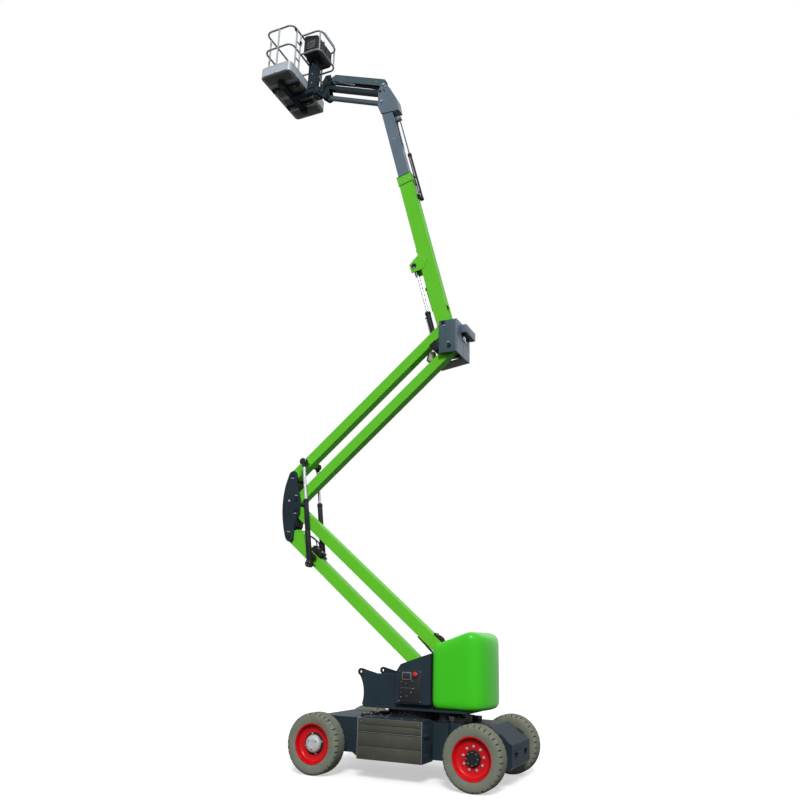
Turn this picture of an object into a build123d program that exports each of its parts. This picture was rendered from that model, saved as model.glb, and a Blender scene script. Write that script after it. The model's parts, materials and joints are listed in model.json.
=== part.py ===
from build123d import *
import os
from math import atan2, cos, degrees, hypot, radians, sin, sqrt

os.makedirs("parts", exist_ok=True)

# Articulating boom lift, raised: a wheeled chassis, a slewing turret, a riser of two stacked
# four-bar arms, a telescopic boom, a jib and a basket. Sizes are in millimetres.
# The origin is on the ground under the slewing axis. +X points to the steered axle and the
# counterweight, the boom reaches towards -X, and the camera of a side view stands at -Y.

# Wheels and axles
wheelbase = 2058.0
track = 1485.0
tyre_radius = 355.0
tyre_width = 243.0
tyre_shoulder = 24.0
rim_radius = 235.0
rim_wall = 9.0
rim_width = 225.0
web_thickness = 12.0
web_dish = 74.0
drive_hub_radius = 95.0
drive_hub_length = 62.0
steer_hub_radius = 62.0
steer_hub_length = 42.0
hub_back = 46.0
spindle_radius = 34.0
spindle_grip = 60.0
shaft_play = 0.05
seat_gap = 0.3
axle_depth = 150.0
axle_height = 130.0
axle_flange_radius = 110.0
kingpin_offset = 560.0
kingpin_radius = 22.0
knuckle_radius = 46.0
knuckle_height = 120.0
knuckle_play = 5.0
yoke_plate = 24.0
yoke_half_depth = 55.0

# Chassis
frame_half_width = 465.0
frame_low = 250.0
frame_high = 655.0
frame_tail = -1200.0
frame_chamfer = 55.0
nose_half_width = 380.0
nose_root = 600.0
nose_crest = 1100.0
nose_end = 1360.0
nose_end_low = 190.0
nose_end_high = 470.0
tie_slot_length = 150.0
tie_slot_height = 60.0
tie_slot_spacing = 420.0
tie_slot_depth = 40.0
locker_front = -435.0
locker_back = 411.0
locker_low = 237.0
locker_high = 686.0
locker_side = 800.0
locker_seam = 12.0
ring_radius = 340.0
ring_bore = 200.0
ring_high = 771.7

# Turret
slew_gap = 0.3
deck_plate = 28.0
deck_half_width = 400.0
deck_end = 800.0
cheek_inner = 320.0
cheek_plate = 20.0
ear_tip = (-654.0, 1190.0)
ear_radius = 44.0
ear_hole_radius = 17.0
tower_inner = 100.0
tower_plate = 20.0
console_front = -103.0
console_back = 360.0
console_side = 450.0
console_low = 850.0
console_knee = 1218.0
console_step = 1308.0
console_top = 1446.0
panel_depth = 8.0
cover_front = 361.0
cover_tail = 1050.0
cover_half_width = 450.0
cover_corner = 190.0
cover_front_top = 1543.0
cover_crest = 855.0
cover_crest_top = 1725.0
cover_tail_top = 1652.0
cover_edge = 55.0
cover_notch = 95.0

# Riser: the lower and upper arms, and the pins at the knuckles
lower_foot = (247.0, 1114.0)
pin_step = (95.0, 371.0)
pin_gap = 159.5
lower_length = 2980.0
lower_elevation = 39.5
upper_length = 3205.0
upper_elevation = 41.0
arm_depth = 150.0
arm_half_width = 70.0
arm_wall = 8.0
boss_half_width = 97.0
boss_play = 3.0
pin_radius = 24.0
knuckle_plate = 20.0
fork_half_gap = 58.0
fork_reach = 800.0
lift_base_from_knuckle = 605.66
lift_base_drop = 47.0
lift_eye_from_knuckle = 285.44
lift_eye_drop = 22.89
gusset_plate = 12.0
gusset_hole = 10.0
lift_side = 200.0
lift_eye_half = 37.0
lift_base_radius = 55.0
lift_eye_radius = 50.0
lift_barrel_radius = 45.0
lift_rod_radius = 22.0
lift_barrel_length = 920.0
lift_rod_tail = 545.0
lift_stub_radius = 30.0

# Top knuckle
top_plate_inner = 140.0
top_plate = 15.0
top_front_step = 66.4
top_back_step = 208.6
top_low_step = 468.68
top_high_step = 36.32
opening_side = 215.0
opening_length = 190.0
opening_height = 120.0
wing_side = 410.0
web_inner = 44.0
web_plate = 10.0
sensor_box_depth = 110.0
sensor_box_width = 150.0
sensor_box_height = 190.0

# Boom, its cylinders and the telescope
boom_elevation = 75.2
boom_depth = 225.0
boom_half_width = 82.5
boom_wall = 8.0
boom_sink = 20.6
boom_start = 320.0
boom_end = 2832.0
cheek_reach = 430.0
boom_cheek_inner = 76.0
boom_cheek = 18.0
collar_length = 168.0
collar_lip = 10.0
ram_foot_step = (-176.4, -243.68)
ram_lug_along = 1146.67
ram_lug_out = 211.59
ram_barrel_radius = 40.0
ram_rod_radius = 21.0
ram_barrel_length = 530.0
ram_eye_radius = 36.0
ram_rod_tail = 410.0
ram_pin_radius = 18.0
ram_side_play = 4.0
lug_plate = 17.0
lug_stub_end = 33.0
level_head_along = 710.0
level_head_out = 125.0
level_foot_step = (-111.4, -88.68)
level_barrel_radius = 20.0
level_rod_radius = 11.0
level_barrel_length = 380.0
level_rod_tail = 208.0
level_pin_radius = 12.0
level_slot_half = 30.0
level_slot_length = 430.0
tele_depth = 188.0
tele_half_width = 67.5
tele_wall = 8.0
tele_overlap = 902.0
tele_end = 4360.0
extend_offset = 147.4
extend_barrel_radius = 30.0
extend_rod_radius = 12.0
extend_barrel_start = boom_end - 536.0
extend_barrel_end = boom_end + 397.0
extend_rod_tail = 145.0
extend_rod_end = tele_end - 350.0

# Jib and its bracket
head_plate = 15.0
head_inner = 65.0
jib_pin_beyond_tube = 434.3
jib_pin_side = -75.71
jib_link_step = (-63.0, -118.0)
jib_strut_step = (-25.0, -337.0)
jib_ram_foot_step = (30.0, -60.0)
jib_ram_head_step = (-30.0, 50.0)
jib_length = 1196.0
jib_elevation = 23.4
jib_half_width = 60.0
jib_wall = 8.0
jib_drop = 15.0
jib_rise = 117.0
jib_pin_radius = 15.0
jib_lobe = 34.0
link_half_width = 50.0
link_half_depth = 38.0
link_wall = 14.0
strut_half_width = 34.0
strut_half_depth = 32.0
jib_ram_radius = 28.0
jib_ram_rod_radius = 16.0
jib_ram_eye_radius = 26.0
jib_ram_length = 700.0
jib_ram_rod_tail = 560.0
jib_ram_eye_half = 28.0
stub_end = 52.0
link_stub_end = 34.0
rotor_reach = 297.37
rotor_drop = 252.99
rotor_height = 125.0
rotor_radius = 62.0
rotor_post_radius = 30.0
rotor_gap = 5.0

# Basket
basket_ahead = 200.0
basket_length = 1230.0
basket_width = 620.0
basket_above_rotor = 95.0
floor_plate = 20.0
toe_height = 190.0
toe_wall = 5.0
basket_corner = 60.0
rail_height = 1020.0
mid_rail_height = 590.0
rail_radius = 17.0
rail_bend = 110.0
gate_side = -320.0
console_reach = 320.0
console_half_width = 235.0
console_drop = 385.0
console_rise = 20.0
guard_reach = 400.0
guard_half_width = 290.0
guard_drop = 420.0
band_height = 62.0
band_plate = 6.0


def heading(start, end):
    """The direction from start to end, in degrees above +X."""
    return degrees(atan2(end[1] - start[1], end[0] - start[0]))


def distance(start, end):
    return hypot(end[0] - start[0], end[1] - start[1])


def shifted(point, step):
    return (point[0] + step[0], point[1] + step[1])


def beyond(point, direction, reach, left=0.0):
    """The point at reach along a direction, and left of that line."""
    turn = radians(direction)
    return (
        point[0] + reach * cos(turn) - left * sin(turn),
        point[1] + reach * sin(turn) + left * cos(turn),
    )


def line_plane(start, direction, y=0.0):
    """A plane whose normal runs along a direction in the plane of the boom."""
    turn = radians(direction)
    return Plane(origin=(start[0], y, start[1]), x_dir=(0, 1, 0), z_dir=(cos(turn), 0, sin(turn)))


def slab(outline, low, high, rounding=0.0, mode=Mode.ADD):
    """A plate in the open part: its outline is in X and Z, between two values of Y."""
    with BuildSketch(Plane.XZ.offset(-high)) as face:
        with BuildLine():
            Polyline(*outline, close=True)
        make_face()
        if rounding:
            fillet(face.vertices(), rounding)
    extrude(face.sketch, amount=high - low, mode=mode)


def disc(centre, radius, low, high, mode=Mode.ADD):
    """A round boss, pin or hole in the open part, along Y."""
    with BuildSketch(Plane.XZ.offset(-high)) as face:
        with Locations(centre):
            Circle(radius)
    extrude(face.sketch, amount=high - low, mode=mode)


def bar(start, direction, first, last, radius, y=0.0, mode=Mode.ADD):
    """A round bar in the open part, from first to last along a direction."""
    with BuildSketch(line_plane(start, direction, y).offset(first)) as face:
        Circle(radius)
    extrude(face.sketch, amount=last - first, mode=mode)


def beam(start, direction, first, last, low, high, half_width, mode=Mode.ADD):
    """A square bar along a direction: low and high are its faces' places left of the line."""
    turn = radians(direction)
    side = Plane(
        origin=(start[0], half_width, start[1]), x_dir=(cos(turn), 0, sin(turn)), z_dir=(0, -1, 0)
    )
    with BuildSketch(side) as face:
        with Locations(((first + last) / 2, (low + high) / 2)):
            Rectangle(last - first, high - low)
    extrude(face.sketch, amount=2 * half_width, mode=mode)


def arm(start, direction, length):
    """A riser arm: a square tube with a solid round end and a bore at each pin."""
    half = arm_depth / 2
    beam(start, direction, 0, length, -half, half, arm_half_width)
    beam(
        start, direction, arm_depth, length - arm_depth, arm_wall - half, half - arm_wall,
        arm_half_width - arm_wall, mode=Mode.SUBTRACT,
    )
    for pin in (start, beyond(start, direction, length)):
        disc(pin, half, -arm_half_width, arm_half_width)


def arm_boss(pin):
    disc(pin, arm_depth / 2 - 6, -boss_half_width, boss_half_width)
    disc(pin, pin_radius + shaft_play, -boss_half_width, boss_half_width, mode=Mode.SUBTRACT)


# Places that follow from the driving sizes
axle_x = wheelbase / 2
wheel_y = track / 2
lower_direction = 180 - lower_elevation
upper_direction = upper_elevation
link_foot = shifted(lower_foot, pin_step)
mid_4 = beyond(lower_foot, lower_direction, lower_length)
mid_3 = shifted(mid_4, pin_step)
mid_2 = (mid_3[0], mid_3[1] + pin_gap)
mid_1 = (mid_2[0] - pin_step[0], mid_2[1] + pin_step[1])
top_2 = beyond(mid_2, upper_direction, upper_length)
top_1 = beyond(mid_1, upper_direction, upper_length)
boom_direction = 180 - boom_elevation
boom_origin = beyond(top_1, boom_direction, 0, boom_sink)
lift_base = beyond(mid_4, lower_direction, -lift_base_from_knuckle, lift_base_drop)
lift_eye = beyond(mid_1, upper_direction, lift_eye_from_knuckle, -lift_eye_drop)
top_front = top_1[0] - top_front_step
top_back = top_1[0] + top_back_step
top_low = top_1[1] - top_low_step
top_high = top_1[1] + top_high_step
ram_foot = shifted(top_1, ram_foot_step)
ram_lug = beyond(boom_origin, boom_direction, ram_lug_along, ram_lug_out)
level_head = beyond(boom_origin, boom_direction, level_head_along, level_head_out)
level_foot = shifted(top_1, level_foot_step)
jib_pin = beyond(boom_origin, boom_direction, tele_end + jib_pin_beyond_tube, jib_pin_side)
jib_link_pin = shifted(jib_pin, jib_link_step)
jib_strut_pin = shifted(jib_pin, jib_strut_step)
jib_ram_foot = shifted(jib_pin, jib_ram_foot_step)
tele_start = boom_end - tele_overlap
jib_direction = 180 - jib_elevation
jib_step = beyond((0.0, 0.0), jib_direction, jib_length)
jib_end = shifted(jib_pin, jib_step)
jib_link_end = shifted(jib_link_pin, jib_step)
jib_strut_end = shifted(jib_strut_pin, jib_step)
jib_ram_head = shifted(jib_end, jib_ram_head_step)
rotor_x = round(jib_end[0] - rotor_reach, 1)
rotor_low = round(jib_end[1] - rotor_drop, 1)
rotor_high = rotor_low + rotor_height
basket_front = rotor_x - basket_ahead
basket_low = rotor_high + basket_above_rotor
rim_face = wheel_y + rim_width / 2
web_face = rim_face - web_dish
hub_back_face = web_face - web_thickness - hub_back
spindle_end = hub_back_face + spindle_grip
basket_mid = basket_front - basket_width / 2
floor_top = basket_low + floor_plate
rail_top = basket_low + rail_height - rail_radius

# Wheels: a solid tyre on a red rim with a dished web and a hub. Near is -Y, far is +Y.
for wheel_name, wheel_x, hub_radius, hub_length in (
    ("drive", -axle_x, drive_hub_radius, drive_hub_length),
    ("steer", axle_x, steer_hub_radius, steer_hub_length),
):
    for side_name, side in (("near", -1), ("far", 1)):
        centre = Plane(origin=(wheel_x, 0, tyre_radius), x_dir=(1, 0, 0), z_dir=(0, side, 0))
        with BuildPart() as tyre:
            with BuildSketch(centre.offset(wheel_y - tyre_width / 2)):
                Circle(tyre_radius)
                Circle(rim_radius, mode=Mode.SUBTRACT)
            extrude(amount=tyre_width)
            tread_edges = tyre.edges().filter_by(GeomType.CIRCLE).sort_by(SortBy.RADIUS)[-2:]
            chamfer(tread_edges, tyre_shoulder)
        tyre.part.label = f"tyre_{wheel_name}_{side_name}"
        export_step(tyre.part, f"parts/tyre_{wheel_name}_{side_name}.step")

        with BuildPart() as wheel:
            with BuildSketch(centre.offset(wheel_y - rim_width / 2)):
                Circle(rim_radius)
                Circle(rim_radius - rim_wall, mode=Mode.SUBTRACT)
            extrude(amount=rim_width)
            with BuildSketch(centre.offset(web_face - web_thickness)):
                Circle(rim_radius - rim_wall / 2)
            extrude(amount=web_thickness)
            with BuildSketch(centre.offset(hub_back_face)):
                Circle(axle_flange_radius)
            extrude(amount=hub_back + web_thickness)
            with BuildSketch(centre.offset(web_face)):
                Circle(hub_radius)
            extrude(amount=hub_length)
            with BuildSketch(centre.offset(hub_back_face)):
                Circle(spindle_radius + shaft_play)
            extrude(amount=spindle_grip + 1, mode=Mode.SUBTRACT)
        wheel.part.label = f"wheel_{wheel_name}_{side_name}"
        export_step(wheel.part, f"parts/wheel_{wheel_name}_{side_name}.step")

# Axles: one fixed, one with yokes whose kingpins carry the steering knuckles.
axle_end = hub_back_face - knuckle_play
with BuildPart() as drive_axle:
    with Locations((-axle_x, 0, tyre_radius)):
        Box(axle_depth, 2 * axle_end, axle_height)
    disc((-axle_x, tyre_radius), spindle_radius, -spindle_end, spindle_end)
drive_axle.part.label = "drive_axle"
export_step(drive_axle.part, "parts/drive_axle.step")

yoke_base = kingpin_offset - yoke_half_depth - knuckle_play
yoke_level = knuckle_height / 2 + knuckle_play + yoke_plate / 2
with BuildPart() as steer_axle:
    with Locations((axle_x, 0, tyre_radius)):
        Box(axle_depth, 2 * yoke_base, knuckle_height + 2 * knuckle_play + 2 * yoke_plate)
    for side in (-1, 1):
        with Locations(
            (axle_x, side * kingpin_offset, tyre_radius - yoke_level),
            (axle_x, side * kingpin_offset, tyre_radius + yoke_level),
        ):
            Box(2 * yoke_half_depth, 2 * yoke_half_depth + 2 * knuckle_play, yoke_plate)
        with Locations((axle_x, side * kingpin_offset, tyre_radius)):
            Cylinder(kingpin_radius, 2 * yoke_level)
steer_axle.part.label = "steer_axle"
export_step(steer_axle.part, "parts/steer_axle.step")

for side_name, side in (("near", -1), ("far", 1)):
    spindle_mid = (kingpin_offset + spindle_end) / 2
    with BuildPart() as knuckle:
        with Locations((axle_x, side * kingpin_offset, tyre_radius)):
            Cylinder(knuckle_radius, knuckle_height)
        disc(
            (axle_x, tyre_radius), spindle_radius,
            min(side * kingpin_offset, side * spindle_end), max(side * kingpin_offset, side * spindle_end),
        )
        with Locations((axle_x, side * kingpin_offset, tyre_radius)):
            Cylinder(kingpin_radius + shaft_play, knuckle_height, mode=Mode.SUBTRACT)
    knuckle.part.label = f"knuckle_{side_name}"
    export_step(knuckle.part, f"parts/knuckle_{side_name}.step")

# Chassis frame: a welded box, and a narrower nose with a sloped front and two tie-down slots.
with BuildPart() as chassis_frame:
    slab(
        (
            (frame_tail, frame_low + frame_chamfer), (frame_tail + frame_chamfer, frame_low),
            (nose_root, frame_low), (nose_root, frame_high), (frame_tail + frame_chamfer, frame_high),
            (frame_tail, frame_high - frame_chamfer),
        ),
        -frame_half_width, frame_half_width,
    )
    slab(
        (
            (nose_root - 20, frame_low), (nose_end - 60, nose_end_low), (nose_end, nose_end_low + 50),
            (nose_end, nose_end_high), (nose_crest, frame_high), (nose_root - 20, frame_high),
        ),
        -nose_half_width, nose_half_width,
    )
    with Locations((-axle_x, 0, tyre_radius)):
        Box(axle_depth, 2 * frame_half_width, axle_height, mode=Mode.SUBTRACT)
    with Locations((axle_x, 0, tyre_radius)):
        Box(
            axle_depth, 2 * frame_half_width, knuckle_height + 2 * knuckle_play + 2 * yoke_plate,
            mode=Mode.SUBTRACT,
        )
    for side in (-1, 1):
        with Locations(
            (nose_end, side * tie_slot_spacing / 2, (nose_end_low + nose_end_high) / 2 + 20)
        ):
            Box(2 * tie_slot_depth, tie_slot_length, tie_slot_height, mode=Mode.SUBTRACT)
chassis_frame.part.label = "chassis_frame"
export_step(chassis_frame.part, "parts/chassis_frame.step")

with BuildPart() as slew_ring:
    with BuildSketch(Plane.XY.offset(frame_high)):
        Circle(ring_radius)
        Circle(ring_bore, mode=Mode.SUBTRACT)
    extrude(amount=ring_high - frame_high)
slew_ring.part.label = "slew_ring"
export_step(slew_ring.part, "parts/slew_ring.step")

# Lockers: bright boxes along both sides, each with a drawer seam and a step below it.
locker_seam_z = locker_high - (locker_high - locker_low) / 3
for side_name, side in (("near", -1), ("far", 1)):
    locker_mid_y = side * (frame_half_width + locker_side) / 2
    with BuildPart() as battery_box:
        with Locations(
            ((locker_front + locker_back) / 2, locker_mid_y, (locker_low + locker_high) / 2)
        ):
            Box(locker_back - locker_front, locker_side - frame_half_width, locker_high - locker_low)
        with Locations(((locker_front + locker_back) / 2, side * locker_side, locker_seam_z)):
            Box(locker_back - locker_front, 2 * locker_seam, locker_seam, mode=Mode.SUBTRACT)
    battery_box.part.label = f"battery_box_{side_name}"
    export_step(battery_box.part, f"parts/battery_box_{side_name}.step")

# Turret: a deck, two cheeks with ears at the front, and a tower for the two lower pins.
deck_low = ring_high + slew_gap
deck_top = deck_low + deck_plate
tower_outer = tower_inner + tower_plate
with BuildPart() as turret_base:
    with BuildSketch(Plane.XY.offset(deck_low)):
        with BuildLine():
            Polyline(
                (ear_tip[0] + ear_radius, -cheek_inner - cheek_plate), (console_front, -deck_half_width),
                (deck_end, -deck_half_width), (deck_end, deck_half_width),
                (console_front, deck_half_width), (ear_tip[0] + ear_radius, cheek_inner + cheek_plate),
                close=True,
            )
        make_face()
    extrude(amount=deck_plate)
    for side in (-1, 1):
        with BuildSketch(Plane.XZ.offset(-side * cheek_inner)) as cheek:
            with BuildLine():
                Polyline(
                    (ear_tip[0] + 30, deck_top), (console_back, deck_top),
                    (console_back, console_top - 30), (console_front, console_knee - 30),
                    (ear_tip[0] + 232, ear_tip[1] - 11), (ear_tip[0] + 8, ear_tip[1] + ear_radius),
                )
                Line((ear_tip[0] + 8, ear_tip[1] + ear_radius), (ear_tip[0] - ear_radius, ear_tip[1]))
                ThreePointArc(
                    (ear_tip[0] - ear_radius, ear_tip[1]),
                    (ear_tip[0] + 48, ear_tip[1] - 211),
                    (ear_tip[0] + 30, deck_top),
                )
            make_face()
            with Locations(ear_tip):
                Circle(ear_radius)
                Circle(ear_hole_radius, mode=Mode.SUBTRACT)
        extrude(cheek.sketch, amount=cheek_plate, dir=(0, side, 0))
        slab(
            (
                (lower_foot[0] - 190, deck_top), (link_foot[0] + 90, deck_top),
                (link_foot[0] + 90, link_foot[1] - 120), (link_foot[0] + 60, link_foot[1] + 50),
                (link_foot[0] - 45, link_foot[1] + 50), (lower_foot[0] - 60, lower_foot[1] + 70),
            ),
            min(side * tower_inner, side * tower_outer), max(side * tower_inner, side * tower_outer),
        )
    for pin in (lower_foot, link_foot):
        disc(pin, pin_radius, -tower_outer - 4, tower_outer + 4)
turret_base.part.label = "turret_base"
export_step(turret_base.part, "parts/turret_base.step")

# Control boxes on both cheeks; the near one carries a flat panel.
cheek_outer = cheek_inner + cheek_plate
with BuildPart() as control_box:
    for side in (-1, 1):
        slab(
            (
                (console_front, console_low), (console_back, console_low), (console_back, console_top),
                (console_front + 59, console_step), (console_front, console_knee),
            ),
            min(side * cheek_outer, side * console_side), max(side * cheek_outer, side * console_side),
        )
    with Locations(((console_front + console_back) / 2 - 32, -console_side, (console_low + console_knee) / 2 + 27)):
        Box(console_back - console_front - 156, 2 * panel_depth, console_knee - console_low + 20)
    disc((console_back - 188, console_knee - 25), 18, -console_side - panel_depth - 24, -console_side)
control_box.part.label = "control_box"
export_step(control_box.part, "parts/control_box.step")

# Rear cover with the counterweight: flat sides, a tail on an arc about the slewing axis, and a
# top that rises to a crest. A notch at its front clears the tower.
cover_shoulder = sqrt(cover_tail ** 2 - cover_half_width ** 2)
with BuildPart() as rear_cover:
    with BuildSketch(Plane.XY.offset(deck_top)) as cover_plan:
        with BuildLine():
            Polyline(
                (cover_shoulder, -cover_half_width), (cover_front, -cover_half_width),
                (cover_front, cover_half_width), (cover_shoulder, cover_half_width),
            )
            ThreePointArc(
                (cover_shoulder, cover_half_width), (cover_tail, 0), (cover_shoulder, -cover_half_width)
            )
        make_face()
        fillet(cover_plan.vertices().group_by(Axis.X)[-1], cover_corner)
    extrude(amount=cover_crest_top - deck_top)
    slab(
        (
            (cover_front, deck_top), (cover_tail, deck_top), (cover_tail, cover_tail_top),
            (cover_crest, cover_crest_top), (cover_front, cover_front_top),
        ),
        -cover_half_width, cover_half_width, mode=Mode.INTERSECT,
    )
    level_faces = rear_cover.faces().filter_by(lambda f: abs(f.normal_at().Z) > 0.5)
    front_edges = rear_cover.edges().filter_by(Axis.Z).filter_by(lambda e: e.center().X < cover_front + 1)
    fillet(level_faces.edges() + front_edges, cover_edge)
    with Locations(((cover_front + cover_notch / 2 - 1), 0, (deck_top + cover_crest_top) / 2)):
        Box(cover_notch + 2, 2 * tower_outer + 20, cover_crest_top - deck_top, mode=Mode.SUBTRACT)
rear_cover.part.label = "rear_cover"
export_step(rear_cover.part, "parts/rear_cover.step")

# Riser arms. Stub pins on the lower arm and the upper link hold the lift cylinders.
stub_side = lift_side - lift_eye_half - seat_gap
with BuildPart() as lower_arm:
    arm(lower_foot, lower_direction, lower_length)
    arm_boss(lower_foot)
    arm_boss(mid_4)
    for side in (-1, 1):
        disc(lift_base, lift_stub_radius, min(side * stub_side, side * 60), max(side * stub_side, side * 60))
        gusset = (side * arm_half_width, side * (arm_half_width - gusset_plate))
        slab(
            (
                shifted(mid_4, (24, 52)), shifted(mid_4, (96, 84)), shifted(mid_4, (190, 84)),
                shifted(mid_4, (262, -120)), shifted(mid_4, (96, -40)),
            ),
            min(gusset), max(gusset),
        )
        disc(shifted(mid_4, (150, 52)), gusset_hole, min(gusset), max(gusset), mode=Mode.SUBTRACT)
lower_arm.part.label = "lower_arm"
export_step(lower_arm.part, "parts/lower_arm.step")

with BuildPart() as lower_link:
    arm(link_foot, lower_direction, lower_length)
    arm_boss(link_foot)
    arm_boss(mid_3)
lower_link.part.label = "lower_link"
export_step(lower_link.part, "parts/lower_link.step")

with BuildPart() as upper_arm:
    arm(mid_2, upper_direction, upper_length)
    arm_boss(mid_2)
    arm_boss(top_2)
upper_arm.part.label = "upper_arm"
export_step(upper_arm.part, "parts/upper_arm.step")

with BuildPart() as upper_link:
    arm(mid_1, upper_direction, upper_length)
    arm_boss(mid_1)
    beam(
        mid_1, upper_direction, upper_length - fork_reach, upper_length + arm_depth,
        -arm_depth, arm_depth, fork_half_gap, mode=Mode.SUBTRACT,
    )
    disc(top_1, pin_radius + shaft_play, -arm_half_width, arm_half_width, mode=Mode.SUBTRACT)
    for side in (-1, 1):
        disc(lift_eye, lift_stub_radius, min(side * stub_side, side * 60), max(side * stub_side, side * 60))
upper_link.part.label = "upper_link"
export_step(upper_link.part, "parts/upper_link.step")

# Middle knuckle: two crescent plates joined by the four pins.
mid_inner = boss_half_width + boss_play
mid_outer = mid_inner + knuckle_plate
with BuildPart() as mid_knuckle:
    for side in (-1, 1):
        slab(
            (
                shifted(mid_1, (4, 60)), shifted(mid_1, (-121, -183)), shifted(mid_3, (-234, 23)),
                shifted(mid_3, (-216, -93)), shifted(mid_4, (-69, 22)), shifted(mid_4, (16, -97)),
                shifted(mid_4, (70, 18)), shifted(mid_4, (68, 160)), shifted(mid_3, (68, -62)),
                shifted(mid_3, (68, 48)), shifted(mid_2, (62, 50)), shifted(mid_2, (-19, 199)),
                shifted(mid_1, (81, -16)),
            ),
            min(side * mid_inner, side * mid_outer), max(side * mid_inner, side * mid_outer), 26,
        )
    for pin in (mid_1, mid_2, mid_3, mid_4):
        disc(pin, pin_radius, -mid_outer - 4, mid_outer + 4)
mid_knuckle.part.label = "mid_knuckle"
export_step(mid_knuckle.part, "parts/mid_knuckle.step")

# Lift cylinders of the riser, one each side: barrels on the lower arm, rods on the upper link.
lift_direction = heading(lift_base, lift_eye)
lift_length = distance(lift_base, lift_eye)
with BuildPart() as lift_barrels:
    for side in (-1, 1):
        lift_y = side * lift_side
        disc(lift_base, lift_base_radius, lift_y - lift_eye_half, lift_y + lift_eye_half)
        bar(lift_base, lift_direction, lift_base_radius - 8, lift_barrel_length, lift_barrel_radius, lift_y)
        bar(
            lift_base, lift_direction, lift_base_radius + 20, lift_barrel_length,
            lift_rod_radius + shaft_play, lift_y, mode=Mode.SUBTRACT,
        )
lift_barrels.part.label = "lift_barrels"
export_step(lift_barrels.part, "parts/lift_barrels.step")

with BuildPart() as lift_rods:
    for side in (-1, 1):
        lift_y = side * lift_side
        disc(lift_eye, lift_eye_radius, lift_y - lift_eye_half, lift_y + lift_eye_half)
        bar(lift_base, lift_direction, lift_rod_tail, lift_length, lift_rod_radius, lift_y)
lift_rods.part.label = "lift_rods"
export_step(lift_rods.part, "parts/lift_rods.step")

# Top knuckle: a plate each side, an end plate with a wing on the far side, and inner webs that
# hold the feet of the boom's two cylinders.
web_outer = web_inner + web_plate
top_outer = top_plate_inner + top_plate
end_plate_x = top_back - top_plate
with BuildPart() as top_knuckle:
    for side in (-1, 1):
        slab(
            ((top_front, top_low), (top_back, top_low), (top_back, top_high), (top_front, top_high)),
            min(side * top_plate_inner, side * top_outer), max(side * top_plate_inner, side * top_outer),
        )
        slab(
            (
                shifted(ram_foot, (-40, -35)), (end_plate_x + 5, ram_foot[1] - 35), (end_plate_x + 5, top_high - 10),
                shifted(top_1, (-37, 36)), shifted(level_foot, (-30, 34)), shifted(ram_foot, (-46, 30)),
            ),
            min(side * web_inner, side * web_outer), max(side * web_inner, side * web_outer),
        )
    with Locations(
        ((end_plate_x + top_back) / 2, (wing_side - top_outer) / 2, (top_low + top_high) / 2)
    ):
        Box(top_plate, wing_side + top_outer, top_high - top_low)
    with Locations((end_plate_x, opening_side, (top_low + top_high) / 2 + 30)):
        Box(4 * top_plate, opening_length, opening_height, mode=Mode.SUBTRACT)
    for pin in (top_1, top_2):
        disc(pin, pin_radius, -top_outer - 6, top_outer + 6)
    disc(ram_foot, ram_pin_radius, -web_outer, web_outer)
    disc(level_foot, level_pin_radius, -web_outer, web_outer)
    with Locations(
        (top_back + sensor_box_depth / 2, wing_side - sensor_box_width / 2, top_high - sensor_box_height / 2)
    ):
        Box(sensor_box_depth, sensor_box_width, sensor_box_height)
top_knuckle.part.label = "top_knuckle"
export_step(top_knuckle.part, "parts/top_knuckle.step")

# Boom: cheeks at the pin, a square tube with a collar at its mouth, lugs for the lift cylinder
# and a bracket for the levelling cylinder.
boom_half = boom_depth / 2
with BuildPart() as boom:
    beam(boom_origin, boom_direction, boom_start, boom_end, -boom_half, boom_half, boom_half_width)
    beam(
        boom_origin, boom_direction, boom_end - collar_length, boom_end, -boom_half - collar_lip,
        boom_half + collar_lip, boom_half_width + collar_lip,
    )
    beam(
        boom_origin, boom_direction, boom_start - 1, boom_end + 1, boom_wall - boom_half,
        boom_half - boom_wall, boom_half_width - boom_wall, mode=Mode.SUBTRACT,
    )
    beam(
        boom_origin, boom_direction, boom_start - 1, boom_start + level_slot_length, 0,
        boom_half + 1, level_slot_half, mode=Mode.SUBTRACT,
    )
    for side in (-1, 1):
        cheek_low = min(side * boom_cheek_inner, side * (boom_cheek_inner + boom_cheek))
        cheek_high = cheek_low + boom_cheek
        slab(
            (
                beyond(boom_origin, boom_direction, -70, -50), beyond(boom_origin, boom_direction, 0, -boom_half),
                beyond(boom_origin, boom_direction, cheek_reach, -boom_half),
                beyond(boom_origin, boom_direction, cheek_reach, boom_half),
                beyond(boom_origin, boom_direction, 60, boom_half - 20), beyond(boom_origin, boom_direction, -70, 30),
            ),
            cheek_low, cheek_high,
        )
        disc(top_1, pin_radius + shaft_play, cheek_low, cheek_high, mode=Mode.SUBTRACT)
        lug_out = boom_half_width - boom_wall + lug_plate
        lug_low = min(side * (lug_out - lug_plate), side * lug_out)
        slab(
            (
                shifted(ram_lug, (-79, 31)), shifted(ram_lug, (-36, -111)), shifted(ram_lug, (147, -76)),
                shifted(ram_lug, (228, 81)), shifted(ram_lug, (50, 164)),
            ),
            lug_low, lug_low + lug_plate,
        )
        stub = (side * lug_stub_end, side * (lug_out + 8))
        disc(ram_lug, ram_pin_radius + 4, min(stub), max(stub))
        bracket = (side * 24, side * 36)
        slab(
            (
                shifted(level_head, (-24, 26)), shifted(level_head, (-18, -26)), shifted(level_head, (66, -20)),
                shifted(level_head, (52, 44)),
            ),
            min(bracket), max(bracket),
        )
    disc(level_head, level_pin_radius, -36, 36)
boom.part.label = "boom"
export_step(boom.part, "parts/boom.step")

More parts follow.
